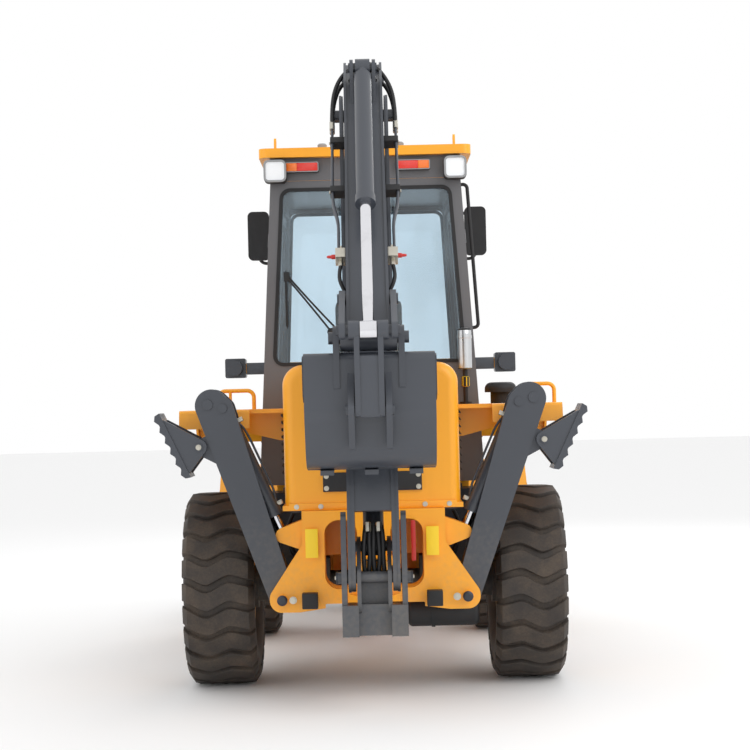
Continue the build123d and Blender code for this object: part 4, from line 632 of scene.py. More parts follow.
def rounded(low: Pair, high: Pair, radius: float, lean: float = 0.0, steps: int = 6) -> list[Pair]:
    """Outline of a rounded window.

    Args:
        low: Its lower left corner.
        high: Its upper right corner.
        radius: Radius of its corners.
        lean: How far each end of its upper side is drawn in.
        steps: Parts of each corner's round.

    Returns:
        The outline's points in order.
    """
    corners = ((low[0], low[1], 180), (high[0], low[1], 270), (high[0] - lean, high[1], 0),
               (low[0] + lean, high[1], 90))
    points = []
    for u, v, start in corners:
        centre_u = u + (radius if start in (180, 90) else -radius)
        centre_v = v + (radius if start in (180, 270) else -radius)
        for i in range(steps + 1):
            angle = math.radians(start + 90 * i / steps)
            points.append((centre_u + radius * math.cos(angle), centre_v + radius * math.sin(angle)))
    return points


@dataclass
class BoltTree:
    """Node tree that puts a hexagon bolt on each point, along the point's facing."""

    name: str = "bolt_field"
    head_sides: int = 6
    head_lift: float = 0.6
    washer_sides: int = 20
    washer_width: float = 1.35
    washer_height: float = 0.25
    washer_lift: float = 0.1

    def build(self) -> bpy.types.GeometryNodeTree:
        """Make the tree with its named inputs.

        Returns:
            The tree.
        """
        tree = bpy.data.node_groups.new(self.name, "GeometryNodeTree")
        kinds = {"Points": "Geometry", "Head Radius": "Float", "Head Height": "Float", "Finish": "Material"}
        for name, kind in kinds.items():
            tree.interface.new_socket(name, in_out="INPUT", socket_type=f"NodeSocket{kind}")
        tree.interface.new_socket("Bolts", in_out="OUTPUT", socket_type="NodeSocketGeometry")
        graph = Graph(tree)
        source = graph.node("NodeGroupInput").outputs
        radius, height = (Signal(graph, source[name]) for name in ("Head Radius", "Head Height"))
        joined = graph.node("GeometryNodeJoinGeometry")
        for sides, wide, tall, lift in (
            (self.head_sides, 1.0, 1.0, self.head_lift),
            (self.washer_sides, self.washer_width, self.washer_height, self.washer_lift),
        ):
            sizes = {"Vertices": sides, "Radius": radius * wide, "Depth": height * tall}
            solid = graph.node("GeometryNodeMeshCylinder", None, sizes).outputs["Mesh"]
            offset = graph.node("ShaderNodeCombineXYZ", None, {"Z": height * lift}).outputs[0]
            moved = graph.node("GeometryNodeTransform", None, {"Geometry": solid, "Translation": offset})
            tree.links.new(moved.outputs[0], joined.inputs[0])
        facing = graph.node("GeometryNodeInputNamedAttribute", {"data_type": "FLOAT_VECTOR"},
                            {"Name": "facing"})
        turn = graph.node("FunctionNodeAlignEulerToVector", {"axis": "Z"},
                          {"Vector": facing.outputs["Attribute"]})
        placed = graph.node("GeometryNodeInstanceOnPoints", None, {
            "Points": source["Points"], "Instance": joined.outputs[0], "Rotation": turn.outputs[0]})
        real = graph.node("GeometryNodeRealizeInstances", None, {0: placed.outputs[0]})
        dressed = graph.node("GeometryNodeSetMaterial", None,
                             {"Geometry": real.outputs[0], "Material": source["Finish"]})
        graph.node("NodeGroupOutput", None, {0: dressed.outputs[0]})
        return tree


@dataclass
class Bolts:
    """Bolts of one size on one body."""

    name: str
    body: str
    radius: float = 0.011
    height: float = 0.009
    finish: Finish = Finish.STEEL
    places: list[tuple[Vector, Vector]] = field(default_factory=list)

    def add(self, place: Place, facing: Place) -> None:
        """Put a bolt at a place, with its head along facing."""
        self.places.append((Vector(place), Vector(facing)))

    def circle(self, centre: Place, facing: Place, radius: float, count: int) -> None:
        """Put bolts on a circle.

        Args:
            centre: Middle of the circle.
            facing: Direction of its axis and of the heads.
            radius: Radius of the circle.
            count: Number of bolts.
        """
        axis = Vector(facing).normalized()
        across = axis.orthogonal().normalized()
        for angle in turns(count):
            place = Vector(centre) + Matrix.Rotation(angle, 3, axis) @ across * radius
            self.places.append((place, axis))

    def build(self) -> bpy.types.Object:
        """Make the bolts as one plain mesh.

        Returns:
            The piece.
        """
        tree = bpy.data.node_groups.get(BoltTree.name) or BoltTree().build()
        points = bpy.data.meshes.new(f"{self.name}_points")
        points.from_pydata([tuple(place) for place, _ in self.places], [], [])
        facing = points.attributes.new("facing", "FLOAT_VECTOR", "POINT")
        for i, (_, way) in enumerate(self.places):
            facing.data[i].vector = way
        holder = bpy.data.objects.new(f"{self.name}_points", points)
        bpy.context.scene.collection.objects.link(holder)
        modifier = holder.modifiers.new("bolts", "NODES")
        modifier.node_group = tree
        inputs = {item.name: item.identifier for item in tree.interface.items_tree if item.in_out == "INPUT"}
        modifier[inputs["Head Radius"]] = self.radius
        modifier[inputs["Head Height"]] = self.height
        modifier[inputs["Finish"]] = self.finish.material
        graph = bpy.context.evaluated_depsgraph_get()
        mesh = bpy.data.meshes.new_from_object(holder.evaluated_get(graph))
        mesh.name = self.name
        bpy.data.objects.remove(holder)
        return carried(self.name, mesh, self.body, self.finish)


@dataclass
class Lamps:
    """Lenses and bezels of the roof's work lamps and tail lamps."""

    work_x: float = 0.56
    work_half: float = 0.058
    work_z: Pair = (3.097, 3.210)
    work_round: float = 0.02
    work_bezel: Pair = (0.012, 0.022)
    tail_middles: Pair = (-0.395, 0.300)
    tail_half: float = 0.105
    tail_z: Pair = (3.150, 3.212)
    tail_depth: float = 0.046
    tail_bezel: Pair = (0.005, 0.012)
    amber_width: float = 0.075
    edge: float = 0.006

    def build(self) -> None:
        """Make every lens and bezel."""
        low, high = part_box("cab_lamps")
        bezels = Piece("lamp_bezels")
        lenses = Piece("work_lamp_lenses")
        for face, way in ((low.y, -1), (high.y, 1)):
            for side in SIDES:
                x = side * self.work_x
                outline = rounded((x - self.work_half, self.work_z[0]), (x + self.work_half, self.work_z[1]),
                                  self.work_round)
                bezels.rim([Vector((u, face + way * 0.004, v)) for u, v in outline], ALONG, *self.work_bezel)
                lenses.prism("Y", outline, face - way * 0.001, face + way * self.edge)
        self.add_tail_lamps(bezels, low.y + self.tail_depth)
        bezels.done("chassis", Finish.GREY)
        lenses.done("chassis", Finish.CLEAR_LENS)

    def add_tail_lamps(self, bezels: Piece, face: float) -> None:
        """Red and amber lenses on the tail lamps.

        Args:
            bezels: Piece that takes their bezels.
            face: The lamps' rear face.
        """
        reds = Piece("tail_lamp_red_lenses")
        ambers = Piece("tail_lamp_amber_lenses")
        low, high = self.tail_z
        width, depth = self.tail_bezel
        for middle in self.tail_middles:
            side = math.copysign(1.0, middle)
            half = side * (self.tail_half - self.edge)
            split = middle + side * (self.tail_half - self.amber_width)
            for lens, start, end in ((reds, middle - half, split), (ambers, split, middle + half)):
                lens.box((start, face - 0.010, low + self.edge), (end, face + 0.004, high - self.edge), 0.004)
            left, right = middle - self.tail_half + width, middle + self.tail_half - width
            outline = rounded((left, low + width), (right, high - width), self.edge)
            bezels.rim([Vector((u, face - 0.002, v)) for u, v in outline], ALONG, width, depth)
        reds.done("chassis", Finish.RED_LENS)
        ambers.done("chassis", Finish.AMBER_LENS)


@dataclass
class Cab:
    """Window seals, wiper, roof stubs and what shows inside the cab."""

    half: float = 0.6
    lean: float = 0.066
    rear_z: Pair = (1.955, 3.045)
    front_z: Pair = (1.56, 3.045)
    round: float = 0.045
    seal: Pair = (0.022, 0.02)
    wiper_shaft: Pair = (-0.235, 2.15)
    wiper_elbow: Pair = (-0.37, 2.33)
    wiper_head: Pair = (-0.51, 2.50)
    wiper_arm: float = 0.006
    wiper_blade: Pair = (2.18, 2.54)
    seat_middle: float = 0.265
    seat_half: float = 0.23
    back_half: float = 0.21
    seat_bevel: float = 0.035
    column_foot: Pair = (0.187, 1.9)
    column_head: Pair = (0.370, 2.08)
    wheel: float = 0.185
    wheel_bar: float = 0.022
    lever_x: float = 0.12
    stubs: Pair = (-0.27, 0.22)

    def build(self) -> None:
        """Make every piece of the cab."""
        low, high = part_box("cab_shell")
        self.rear, self.front = low.y, high.y
        self.add_seals()
        self.add_wiper()
        self.add_inside()
        self.add_roof_fittings()

    def add_seals(self) -> None:
        """Black rubber seals round the rear and front windows."""
        seals = Piece("window_seals")
        for face, (low, high) in ((self.rear + 0.004, self.rear_z), (self.front - 0.004, self.front_z)):
            outline = rounded((-self.half, low), (self.half, high), self.round, self.lean)
            inner = [Vector((u * 0.97, face, low + (v - low) * 0.98 + 0.01)) for u, v in outline]
            seals.rim(inner, ALONG, *self.seal)
        seals.done("chassis", Finish.BLACK)

    def add_wiper(self) -> None:
        """Rear wiper: motor cap, two parallel arms and a hanging blade."""
        face = self.rear - 0.012
        wiper = Piece("rear_wiper")
        x, z = self.wiper_shaft
        elbow_x, elbow_z = self.wiper_elbow
        head_x, head_z = self.wiper_head
        low, high = self.wiper_blade
        back = face - 0.03
        wiper.turned((x, face + 0.02, z), (x, face - 0.1, z),
                     [(0, 0.026), (0.03, 0.026), (0.042, 0.018), (0.05, 0.008)])
        for shift in (0.0, 0.032):
            lift = shift * 0.6
            wiper.tube([(x + shift, face - 0.016, z + lift), (elbow_x, face - 0.032, elbow_z + lift),
                        (head_x + shift * 0.5, back, head_z)], self.wiper_arm)
        for left, right, near, far, foot, top, bevel in (
            (0.014, 0.022, -0.01, 0.01, head_z - 0.03, head_z + 0.03, 0.004),
            (0.007, 0.007, -0.004, 0.008, low + 0.01, high - 0.01, 0.002),
            (0.003, 0.003, 0.006, 0.022, low, high, 0.0),
        ):
            wiper.box((head_x - left, back + near, foot), (head_x + right, back + far, top), bevel)
        wiper.done("chassis", Finish.BLACK)

    def add_inside(self) -> None:
        """Seat, steering wheel and levers in place of the plain ones."""
        low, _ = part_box("cab_interior")
        seat = Piece("seat_cushion")
        back = Piece("seat_back")
        for piece, half, side in (
            (seat, self.seat_half, [(-0.2, 0.02), (-0.2, 0.13), (0.05, 0.118), (0.24, 0.135), (0.25, 0.02)]),
            (back, self.back_half, [(-0.2, 0.14), (-0.235, 0.4), (-0.255, 0.7),
                                    (-0.165, 0.71), (-0.135, 0.4), (-0.1, 0.14)]),
        ):
            outline = [(low.y + self.seat_middle + y, low.z + z) for y, z in side]
            piece.prism("X", outline, -half, half, self.seat_bevel)
        cushion = seat.done("chassis", Finish.SEAT)
        rest = back.done("chassis", Finish.SEAT)
        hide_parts("cab_interior")
        self.add_controls(low.z)

    def add_controls(self, base: float) -> None:
        """Seat base, steering wheel on its column, and the backhoe's levers.

        Args:
            base: Height of the seat's foot.
        """
        controls = Piece("cab_controls")
        controls.box((-0.17, self.rear + 0.2, base), (0.17, self.rear + 0.5, base + 0.03), 0.01)
        foot, head = (Vector((0, self.front - y, z)) for y, z in (self.column_foot, self.column_head))
        controls.cylinder(foot, head, 0.026)
        axis = (head - foot).normalized()
        across = axis.orthogonal().normalized()

        def around(count: int) -> list[Vector]:
            """Directions evenly spread round the column."""
            return [Matrix.Rotation(angle, 3, axis) @ across for angle in turns(count)]

        controls.rim([head + way * self.wheel for way in around(32)], axis, self.wheel_bar, self.wheel_bar)
        for way in around(3):
            controls.cylinder(head, head + way * (self.wheel + 0.001), 0.010, 10)
        foot_y, knob_y = self.rear + 0.083, self.rear + 0.09
        for x in (-self.lever_x, self.lever_x):
            controls.box((x - 0.04, self.rear + 0.066, base), (x + 0.04, self.rear + 0.1, 1.95), 0.01)
            controls.tube([(x, foot_y, 1.94), (x * 1.05, foot_y, 2.05), (x * 1.02, knob_y, 2.24)], 0.008)
            controls.turned((x * 1.02, knob_y, 2.215), (x * 1.02, knob_y, 2.4),
                            [(0, 0.012), (0.012, 0.022), (0.035, 0.027), (0.055, 0.02), (0.062, 0.008)], 16)
        controls.done("chassis", Finish.BLACK)

    def add_roof_fittings(self) -> None:
        """Two grey stubs on the roof."""
        stubs = Piece("roof_stubs")
        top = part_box("cab_roof")[0].z + 0.2
        y = self.rear + 0.2
        for x in self.stubs:
            stubs.cylinder((x, y, top - 0.003), (x, y, top + 0.058), 0.03, 20, 0.008)
        stubs.done("chassis", Finish.GREY)


@dataclass
class Hood:
    """Bolted black plate, flange, louvres and latches of the engine hood."""

    plate_half: float = 0.285
    plate_z: Pair = (1.195, 1.305)
    bolt_inset: float = 0.02
    flange_half: float = 0.485
    flange_height: float = 0.04
    flange_bolts: tuple[float, ...] = (-0.44, -0.3, 0.3, 0.44)
    slats: int = 9
    slat_z: float = 1.30
    slat_pitch: float = 0.042
    slat_y: Pair = (0.2, 0.62)
    latch_y: Pair = (0.34, 0.46)
    latch_z: Pair = (1.17, 1.21)

    def build(self) -> None:
        """Make the plate, the flange and their bolts."""
        low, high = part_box("engine_hood")
        face = low.y
        foot, top = self.plate_z
        plate = Piece("hood_plate")
        plate.box((-self.plate_half, face - 0.006, foot), (self.plate_half, face + 0.004, top), 0.002)
        plate.done("chassis", Finish.BLACK)
        bolts = Bolts("hood_bolts", "chassis")
        for side in SIDES:
            for z in (foot + self.bolt_inset, top - self.bolt_inset):
                bolts.add((side * (self.plate_half - self.bolt_inset), face - 0.006, z), REARWARD)
        flange = Piece("hood_flange")
        base = low.z + 0.002
        flange.box((-self.flange_half, face - 0.004, base),
                   (self.flange_half, face + 0.012, base + self.flange_height), 0.003)
        flange.done("chassis", Finish.YELLOW)
        for x in self.flange_bolts:
            bolts.add((x, face - 0.004, base + self.flange_height / 2), REARWARD)
        bolts.build()
        self.add_side_panels(low.y, high.x)

    def add_side_panels(self, rear: float, half: float) -> None:
        """Latches and louvre slats on both hood sides.

        Args:
            rear: Rear face of the hood.
            half: Half of the hood's width.
        """
        slats = Piece("hood_louvres")
        latches = Piece("hood_latches")
        for side in SIDES:
            inner = side * (half - 0.002)
            near, far = sorted((inner, side * (half + 0.008)))
            for i in range(self.slats):
                z = self.slat_z + i * self.slat_pitch
                outline = [(near, z), (far, z - 0.008), (far, z - 0.002), (near, z + 0.012)]
                slats.prism("Y", outline, rear + self.slat_y[0], rear + self.slat_y[1])
            latches.box((inner, rear + self.latch_y[0], self.latch_z[0]),
                        (side * (half + 0.012), rear + self.latch_y[1], self.latch_z[1]), 0.004)
        slats.done("chassis", Finish.BLACK)
        latches.done("chassis", Finish.BLACK)


@dataclass
class BackhoeFrame:
    """Bare plates, rubber stops, lock bar and pin keepers of the backhoe frame."""

    wall: float = 0.026
    plates: Pair = (-0.355, 0.335)
    plate_half: float = 0.036
    plate_z: Pair = (0.825, 0.99)
    stops: Pair = (-0.37, 0.34)
    stop_half: float = 0.045
    stop_z: Pair = (0.54, 0.63)
    keeper_x: float = 0.062
    lock_x: float = 0.225
    lock_half: float = 0.013
    lock_z: Pair = (0.80, 1.03)
    lock_pins: Pair = (0.82, 1.0)

    def build(self) -> None:
        """Make every piece of the frame."""
        self.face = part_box("stabilizer_leg_right")[0].y - self.wall
        for name, places, half, (low, high), out, bevel, finish in (
            ("bare_plates", self.plates, self.plate_half, self.plate_z, 0.0015, 0.0007, Finish.PLATE),
            ("rubber_stops", self.stops, self.stop_half, self.stop_z, 0.07, 0.006, Finish.HOSE),
        ):
            pads = Piece(name)
            for x in places:
                pads.box((x - half, self.face - out, low), (x + half, self.face + 0.002, high), bevel)
            pads.done("chassis", finish)
        self.add_keepers()

    def add_keepers(self) -> None:
        """Pin heads, keeper bolts and the red lock bar."""
        place = pin("stabilizer_right")
        heads = Piece("stabilizer_pin_heads")
        bolts = Bolts("frame_bolts", "chassis", 0.016, 0.012)
        for side in SIDES:
            x = side * place.x
            heads.turned((x, self.face - 0.006, place.z), (x, self.face - 0.1, place.z),
                         [(0.0, 0.03), (0.012, 0.03), (0.018, 0.022), (0.018, 0.012)])
            bolts.add((x - side * self.keeper_x, self.face - 0.001, place.z), REARWARD)
        bolts.build()
        heads.done("chassis", Finish.PIN)
        lock = Piece("lock_bar")
        lock.box((self.lock_x - self.lock_half, self.face - 0.055, self.lock_z[0]),
                 (self.lock_x + self.lock_half, self.face - 0.028, self.lock_z[1]), 0.004)
        for z in self.lock_pins:
            lock.cylinder((self.lock_x, self.face - 0.04, z), (self.lock_x, self.face + 0.004, z), 0.008, 12)
        lock.done("chassis", Finish.RED)


@dataclass
class ArmLine:
    """Straight line of an arm in the (y, z) plane, with places along and off it."""

    start: Vector
    end: Vector

    def at(self, x: float, distance: float, offset: float) -> Place:
        """Place beside the line.

        Args:
            x: Where it lies across the machine.
            distance: How far along the line it is.
            offset: How far it lies off the line, to the rear and upper side.

        Returns:
            The place.
        """
        run = (self.end - self.start).normalized()
        off = Vector((0, run.z, -run.y))
        if off.y > 0:
            off = -off
        place = self.start + run * distance + off * offset
        return (x, place.y, place.z)

    def plate(self, middle: float, half: float, top: float, foot: float) -> list[Pair]:
        """Outline of a plate along the line.

        Args:
            middle: Distance of its middle along the line.
            half: Half of its length.
            top: Offset of its outer edge.
            foot: Offset of its inner edge.

        Returns:
            Its corners as (y, z).
        """
        ends = ((middle - half, top), (middle + half, top), (middle + half, foot), (middle - half, foot))
        return [self.at(0, distance, offset)[1:] for distance, offset in ends]


@dataclass
class DipperLines:
    """Pipes, hoses, clamps and pipe-burst valves of the dipper."""

    wall_x: float = 0.112
    pipe_x: float = 0.182
    pipe_radius: float = 0.008
    pipe_offsets: Pair = (0.045, 0.018)
    crank: float = 0.032
    clamps: Pair = (0.27, 0.68)
    hose_radius: float = 0.0125
    tail_radius: float = 0.0105
    ferrule_radius: float = 0.0155
    valve_at: float = 1.195
    valve_x: float = 0.14
    valve_face: float = 0.168
    valve_offset: float = 0.035

    def build(self) -> None:
        """Make every line of the dipper."""
        flat = Vector((0, 1, 1))
        self.line = ArmLine(pin("dipper_crowd") * flat, pin("backhoe_bucket_curl") * flat)
        self.add_pipes()
        self.add_hoses()
        self.add_valves()

    def add_pipes(self) -> None:
        """Steel pipes and their clamps on both sides."""
        at = self.line.at
        pipes = Piece("dipper_pipes")
        clamps = Piece("dipper_pipe_clamps")
        bolts = Bolts("dipper_clamp_bolts", "dipper", 0.007, 0.006)
        for side in SIDES:
            x = side * self.pipe_x
            inner = x - side * self.crank
            route = ((x, 0.13), (x, 0.5), (x, 0.78), (inner, 0.92), (inner, 1.06),
                     (inner, self.valve_at - 0.03))
            for offset in self.pipe_offsets:
                pipes.tube([at(across, distance, offset) for across, distance in route], self.pipe_radius)
            outer = x + side * 0.012
            for distance in self.clamps:
                plate = self.line.plate(distance, 0.022, 0.062, 0.002)
                clamps.prism("X", plate, side * self.wall_x, outer, 0.003)
                bolts.add(at(outer, distance, 0.032), (side, 0, 0))
        pipes.done("dipper", Finish.SLATE)
        clamps.done("dipper", Finish.BLACK)
        bolts.build()

    def add_hoses(self) -> None:
        """Hoses that arch from the pipes over the dipper's top to the bucket ram's barrel."""
        at = self.line.at
        hoses = Piece("dipper_hoses")
        ferrules = Piece("dipper_hose_ferrules")
        x = self.pipe_x
        outer, inner = self.pipe_offsets
        for side, lift in ((-1, 0.0), (1, 0.024)):
            upper = ((x, 0.14, outer), (x, 0.02, 0.06), (0.168, -0.12, 0.09), (0.125, -0.235, 0.105),
                     (0.06, -0.31, 0.11 + lift), (-0.01, -0.30, 0.125 + lift), (-0.055, -0.22, 0.15),
                     (-0.072, -0.1, 0.18))
            lower = ((x, 0.14, inner), (x, 0.03, 0.012), (0.172, -0.1, 0.02), (0.14, -0.225, 0.03),
                     (0.085, -0.295, 0.03), (0.04, -0.29, -0.02))
            for route in (upper, lower):
                hoses.tube([at(side * out, distance, off) for out, distance, off in route], self.hose_radius)
            for offset in self.pipe_offsets:
                ferrules.cylinder(at(side * x, 0.17, offset), at(side * x, 0.10, offset),
                                  self.ferrule_radius, 12, 0.002)
        hoses.done("dipper", Finish.HOSE)
        ferrules.done("dipper", Finish.STEEL)

    def add_valves(self) -> None:
        """Valve blocks with red caps, and the short hoses below them."""
        at, valve, middle = self.line.at, self.valve_at, self.valve_offset
        blocks = Piece("dipper_valves")
        caps = Piece("dipper_valve_caps")
        tails = Piece("dipper_valve_hoses")
        for side in SIDES:
            x = side * self.valve_x
            face = side * self.valve_face
            plate = self.line.plate(valve, 0.035, 2 * middle, 0.0)
            blocks.prism("X", plate, side * (self.wall_x + 0.0005), face, 0.004)
            blocks.cylinder(at(x, valve - 0.075, middle), at(x, valve + 0.075, middle), 0.013, 6, 0.002)
            caps.turned(at(face - side * 0.001, valve, middle), at(face + side, valve, middle),
                        [(0, 0.013), (0.02, 0.013), (0.024, 0.009), (0.04, 0.008), (0.048, 0.004)], 12)
            route = ((self.valve_x, 0.07, middle), (0.15, 0.13, middle), (0.142, 0.19, 0.02),
                     (0.12, 0.215, -0.01))
            tails.tube([at(side * out, valve + ahead, off) for out, ahead, off in route], self.tail_radius)
        blocks.done("dipper", Finish.STEEL)
        caps.done("dipper", Finish.RED)
        tails.done("dipper", Finish.HOSE)


@dataclass
class BackhoePins:
    """Heads and bolts on the backhoe's pins, and the hoses in the swing post."""

    radius: float = 0.034
    bucket_reach: float = 0.174
    hoses: int = 5
    hose_pitch: float = 0.027
    hose_radius: float = 0.0125

    def build(self) -> None:
        """Make the pins' details on each body."""
        self.add_heads("swing_post", "boom_lift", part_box("swing_post")[1].x)
        self.add_heads("boom", "dipper_crowd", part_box("boom")[1].x)
        self.add_heads("backhoe_bucket", "backhoe_bucket_curl", self.bucket_reach)
        self.add_post_hoses()

    def add_heads(self, body: str, joint: str, reach: float) -> None:
        """Head and bolt at both ends of a pin.

        Args:
            body: Body that carries the pin.
            joint: Joint on the pin's axis.
            reach: Where the pin ends, to each side of the machine's middle.
        """
        _, y, z = pin(joint)
        radius = self.radius
        heads = Piece(f"{body}_pin_heads")
        bolts = Bolts(f"{body}_pin_bolts", body, 0.010, 0.008)
        for side in SIDES:
            heads.turned((side * (reach - 0.002), y, z), (side * (reach + 1), y, z),
                         [(0, radius), (0.007, radius), (0.010, radius - 0.004), (0.010, 0.004)])
            bolts.add((side * (reach + 0.006), y, z), (side, 0, 0))
        heads.done(body, Finish.PIN)
        bolts.build()

    def add_post_hoses(self) -> None:
        """Bundle of hoses that runs down through the boom's foot, with two fittings."""
        _, y, z = pin("boom_lift")
        hoses = Piece("swing_post_hoses")
        fittings = Piece("swing_post_fittings")
        for i in range(self.hoses):
            x = (i - self.hoses // 2) * self.hose_pitch
            wave = 0.006 if i % 2 else -0.004
            route = ((x * 0.8, 0.105, 0.27), (x, 0.07, 0.2), (x + wave, 0.056, 0.1), (x - wave, 0.056, 0.0),
                     (x, 0.06, -0.1), (x * 0.8, 0.09, -0.15))
            hoses.tube([(across, y + ahead, z + lift) for across, ahead, lift in route], self.hose_radius)
        for x in (-0.03, 0.03):
            fittings.cylinder((x, y + 0.09, z + 0.29), (x, y + 0.07, z + 0.24), 0.018, 6, 0.003)
        hoses.done("swing_post", Finish.HOSE)
        fittings.done("swing_post", Finish.STEEL)


@dataclass
class Stabilizers:
    """Pipes on the stabilizer rams, and pad bolts."""

    pipe_radius: float = 0.007
    offset: float = 0.062
    foot_offset: float = 0.03

    def build(self) -> None:
        """Make the pieces of both sides."""
        for name, side in (("left", -1), ("right", 1)):
            self.add_pipe(name, side)
            self.add_bolt(name)

    def add_pipe(self, name: str, side: int) -> None:
        """Steel pipe along the ram's barrel, with its end blocks.

        Args:
            name: Name of the side.
            side: -1 on the left and 1 on the right.
        """
        body = f"stabilizer_barrel_{name}"
        head = pin(f"{body}_swing")
        low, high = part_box(f"stabilizer_barrel_{name}")
        tail = Vector((low.x + 0.05 if side > 0 else high.x - 0.05, head.y, low.z + 0.03))
        run = (tail - head).normalized()
        off = Vector((run.z, 0, -run.x))
        if off.x * side > 0:
            off = -off
        length = (tail - head).length
        out, foot = self.offset, self.foot_offset
        route = ((0.1, foot), (0.13, out), (length * 0.5, out), (length - 0.09, out), (length - 0.05, foot))
        pipe = Piece(f"stabilizer_pipe_{name}")
        pipe.tube([tuple(head + run * distance + off * lift) for distance, lift in route], self.pipe_radius)
        pipe.done(body, Finish.SLATE)
        blocks = Piece(f"stabilizer_fittings_{name}")
        for distance in (0.1, length - 0.05):
            centre = head + run * distance
            blocks.cylinder(centre + off * foot, centre + off * 0.075, 0.014, 6, 0.002)
        blocks.done(body, Finish.STEEL)

    def add_bolt(self, name: str) -> None:
        """Bolt at the pad's pin, on the rear face of the leg."""
        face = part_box(f"stabilizer_leg_{name}")[0].y
        pad = pin(f"stabilizer_pad_{name}_tilt")
        bolts = Bolts(f"stabilizer_bolts_{name}", f"stabilizer_leg_{name}", 0.012, 0.01)
        bolts.add((pad.x, face + 0.001, pad.z), REARWARD)
        bolts.build()


@dataclass
class Tyre:
    """Tyre with rounded shoulders and waved lugs that wrap them."""

    name: str
    bead: float = 0.305
    lugs: int = 24
    groove: float = 0.044
    wave: float = 0.031
    rib_height: float = 0.027
    chamfer: float = 0.004
    shoulder_drop: float = 0.05
    segments: int = 96
    lug_steps: int = 14

    def build(self) -> None:
        """Make the tyre in place of its plain solid."""
        node = f"tyre_{self.name}"
        low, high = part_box(node)
        self.middle = (low + high) / 2
        self.half = (high.x - low.x) / 2
        self.radius = (high.z - low.z) / 2
        self.side = 1 if self.middle.x > 0 else -1
        shape = Piece(node + "_tread")
        self.add_carcass(shape)
        for angle in turns(self.lugs):
            self.add_lug(shape, angle)
        piece = shape.done(f"wheel_{self.name}", Finish.TYRE)
        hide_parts(node)

    def around(self, x: float, radius: float, angle: float) -> Vector:
        """Point at a distance along the axle, a radius and an angle."""
        return self.middle + Vector((x, radius * math.cos(angle), radius * math.sin(angle)))

    def crown(self, x: float) -> float:
        """Outer radius of the tread at a distance from the tyre's middle."""
        share = abs(x) / self.half
        return self.radius - 0.004 * share ** 2 - self.shoulder_drop * max(0.0, (share - 0.8) / 0.2) ** 2

    def add_carcass(self, shape: Piece) -> None:
        """Add the turned carcass with its beads and sidewalls.

        Args:
            shape: The tyre's piece.
        """
        base = self.radius - self.rib_height
        bead = self.bead
        wall = [(0.150, bead), (0.150, bead + 0.024), (0.175, bead + 0.045), (0.198, bead + 0.078),
                (0.208, bead + 0.115), (0.211, bead + 0.155), (0.208, base - 0.075), (0.200, base - 0.045),
                (0.186, base - 0.022), (0.165, base - 0.008), (0.12, base), (0.0, base + 0.001)]
        wall = [(min(x, self.half), radius) for x, radius in wall]
        full = wall + [(-x, radius) for x, radius in reversed(wall[:-1])]
        rings = [shape.ring([self.around(x, radius, angle) for angle in turns(self.segments)])
                 for x, radius in full]
        shape.skin(rings, closed=True)

    def shift(self, x: float) -> float:
        """How far a lug leans round the tyre.

        Args:
            x: Distance from the tyre's middle.

        Returns:
            The lean along the tread.
        """
        half = self.half - 0.008
        stops = [(-half, 0.0), (-half / 3, -self.wave), (half / 3, self.wave), (half, -self.wave)]
        place = max(-half, min(half, x * self.side))
        for (x0, y0), (x1, y1) in zip(stops, stops[1:]):
            if place <= x1:
                share = (place - x0) / (x1 - x0)
                eased = share * 0.45 + (3 - 2 * share) * share * share * 0.55
                return y0 + (y1 - y0) * eased
        return stops[-1][1]

    def add_lug(self, shape: Piece, start: float) -> None:
        """Add one waved lug.

        Args:
            shape: The tyre's piece.
            start: Angle of the lug.
        """
        pitch = 2 * math.pi * self.radius / self.lugs
        wide = (pitch - self.groove) / 2 / self.radius
        edge = self.chamfer / self.radius
        rings = []
        for k in range(self.lug_steps + 1):
            x = (2 * k / self.lug_steps - 1) * (self.half - 0.001)
            middle = start + self.shift(x) / self.radius
            top = self.crown(x)
            low = top - self.chamfer
            foot = top - self.rib_height - 0.016
            outline = ((foot, -wide - edge), (low, -wide), (top, edge - wide),
                       (top, wide - edge), (low, wide), (foot, wide + edge))
            rings.append(shape.ring([self.around(x, radius, middle + turn) for radius, turn in outline]))
        shape.skin(rings)
        shape.cap(rings)


@dataclass
class WheelDetails:
    """Nuts and hub bolts of the four wheels."""

    nut_circle: float = 0.165
    nut_face: float = 0.052
    nuts: int = 12
    hub_circle: float = 0.072
    hub_face: float = 0.128
    hub_bolts: int = 8

    def build(self) -> None:
        """Make the nuts on each wheel."""
        for name in WHEELS:
            centre = pin(f"wheel_{name}_spin")
            low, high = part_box(f"rim_{name}")
            side = 1 if centre.x > 0 else -1
            middle = (low.x + high.x) / 2
            for kind, radius, height, face, circle, count in (
                ("wheel_nuts", 0.017, 0.018, self.nut_face, self.nut_circle, self.nuts),
                ("hub_bolts", 0.009, 0.007, self.hub_face, self.hub_circle, self.hub_bolts),
            ):
                bolts = Bolts(f"{kind}_{name}", f"wheel_{name}", radius, height)
                bolts.circle((middle + side * face, centre.y, centre.z), (side, 0, 0), circle, count)
                bolts.build()


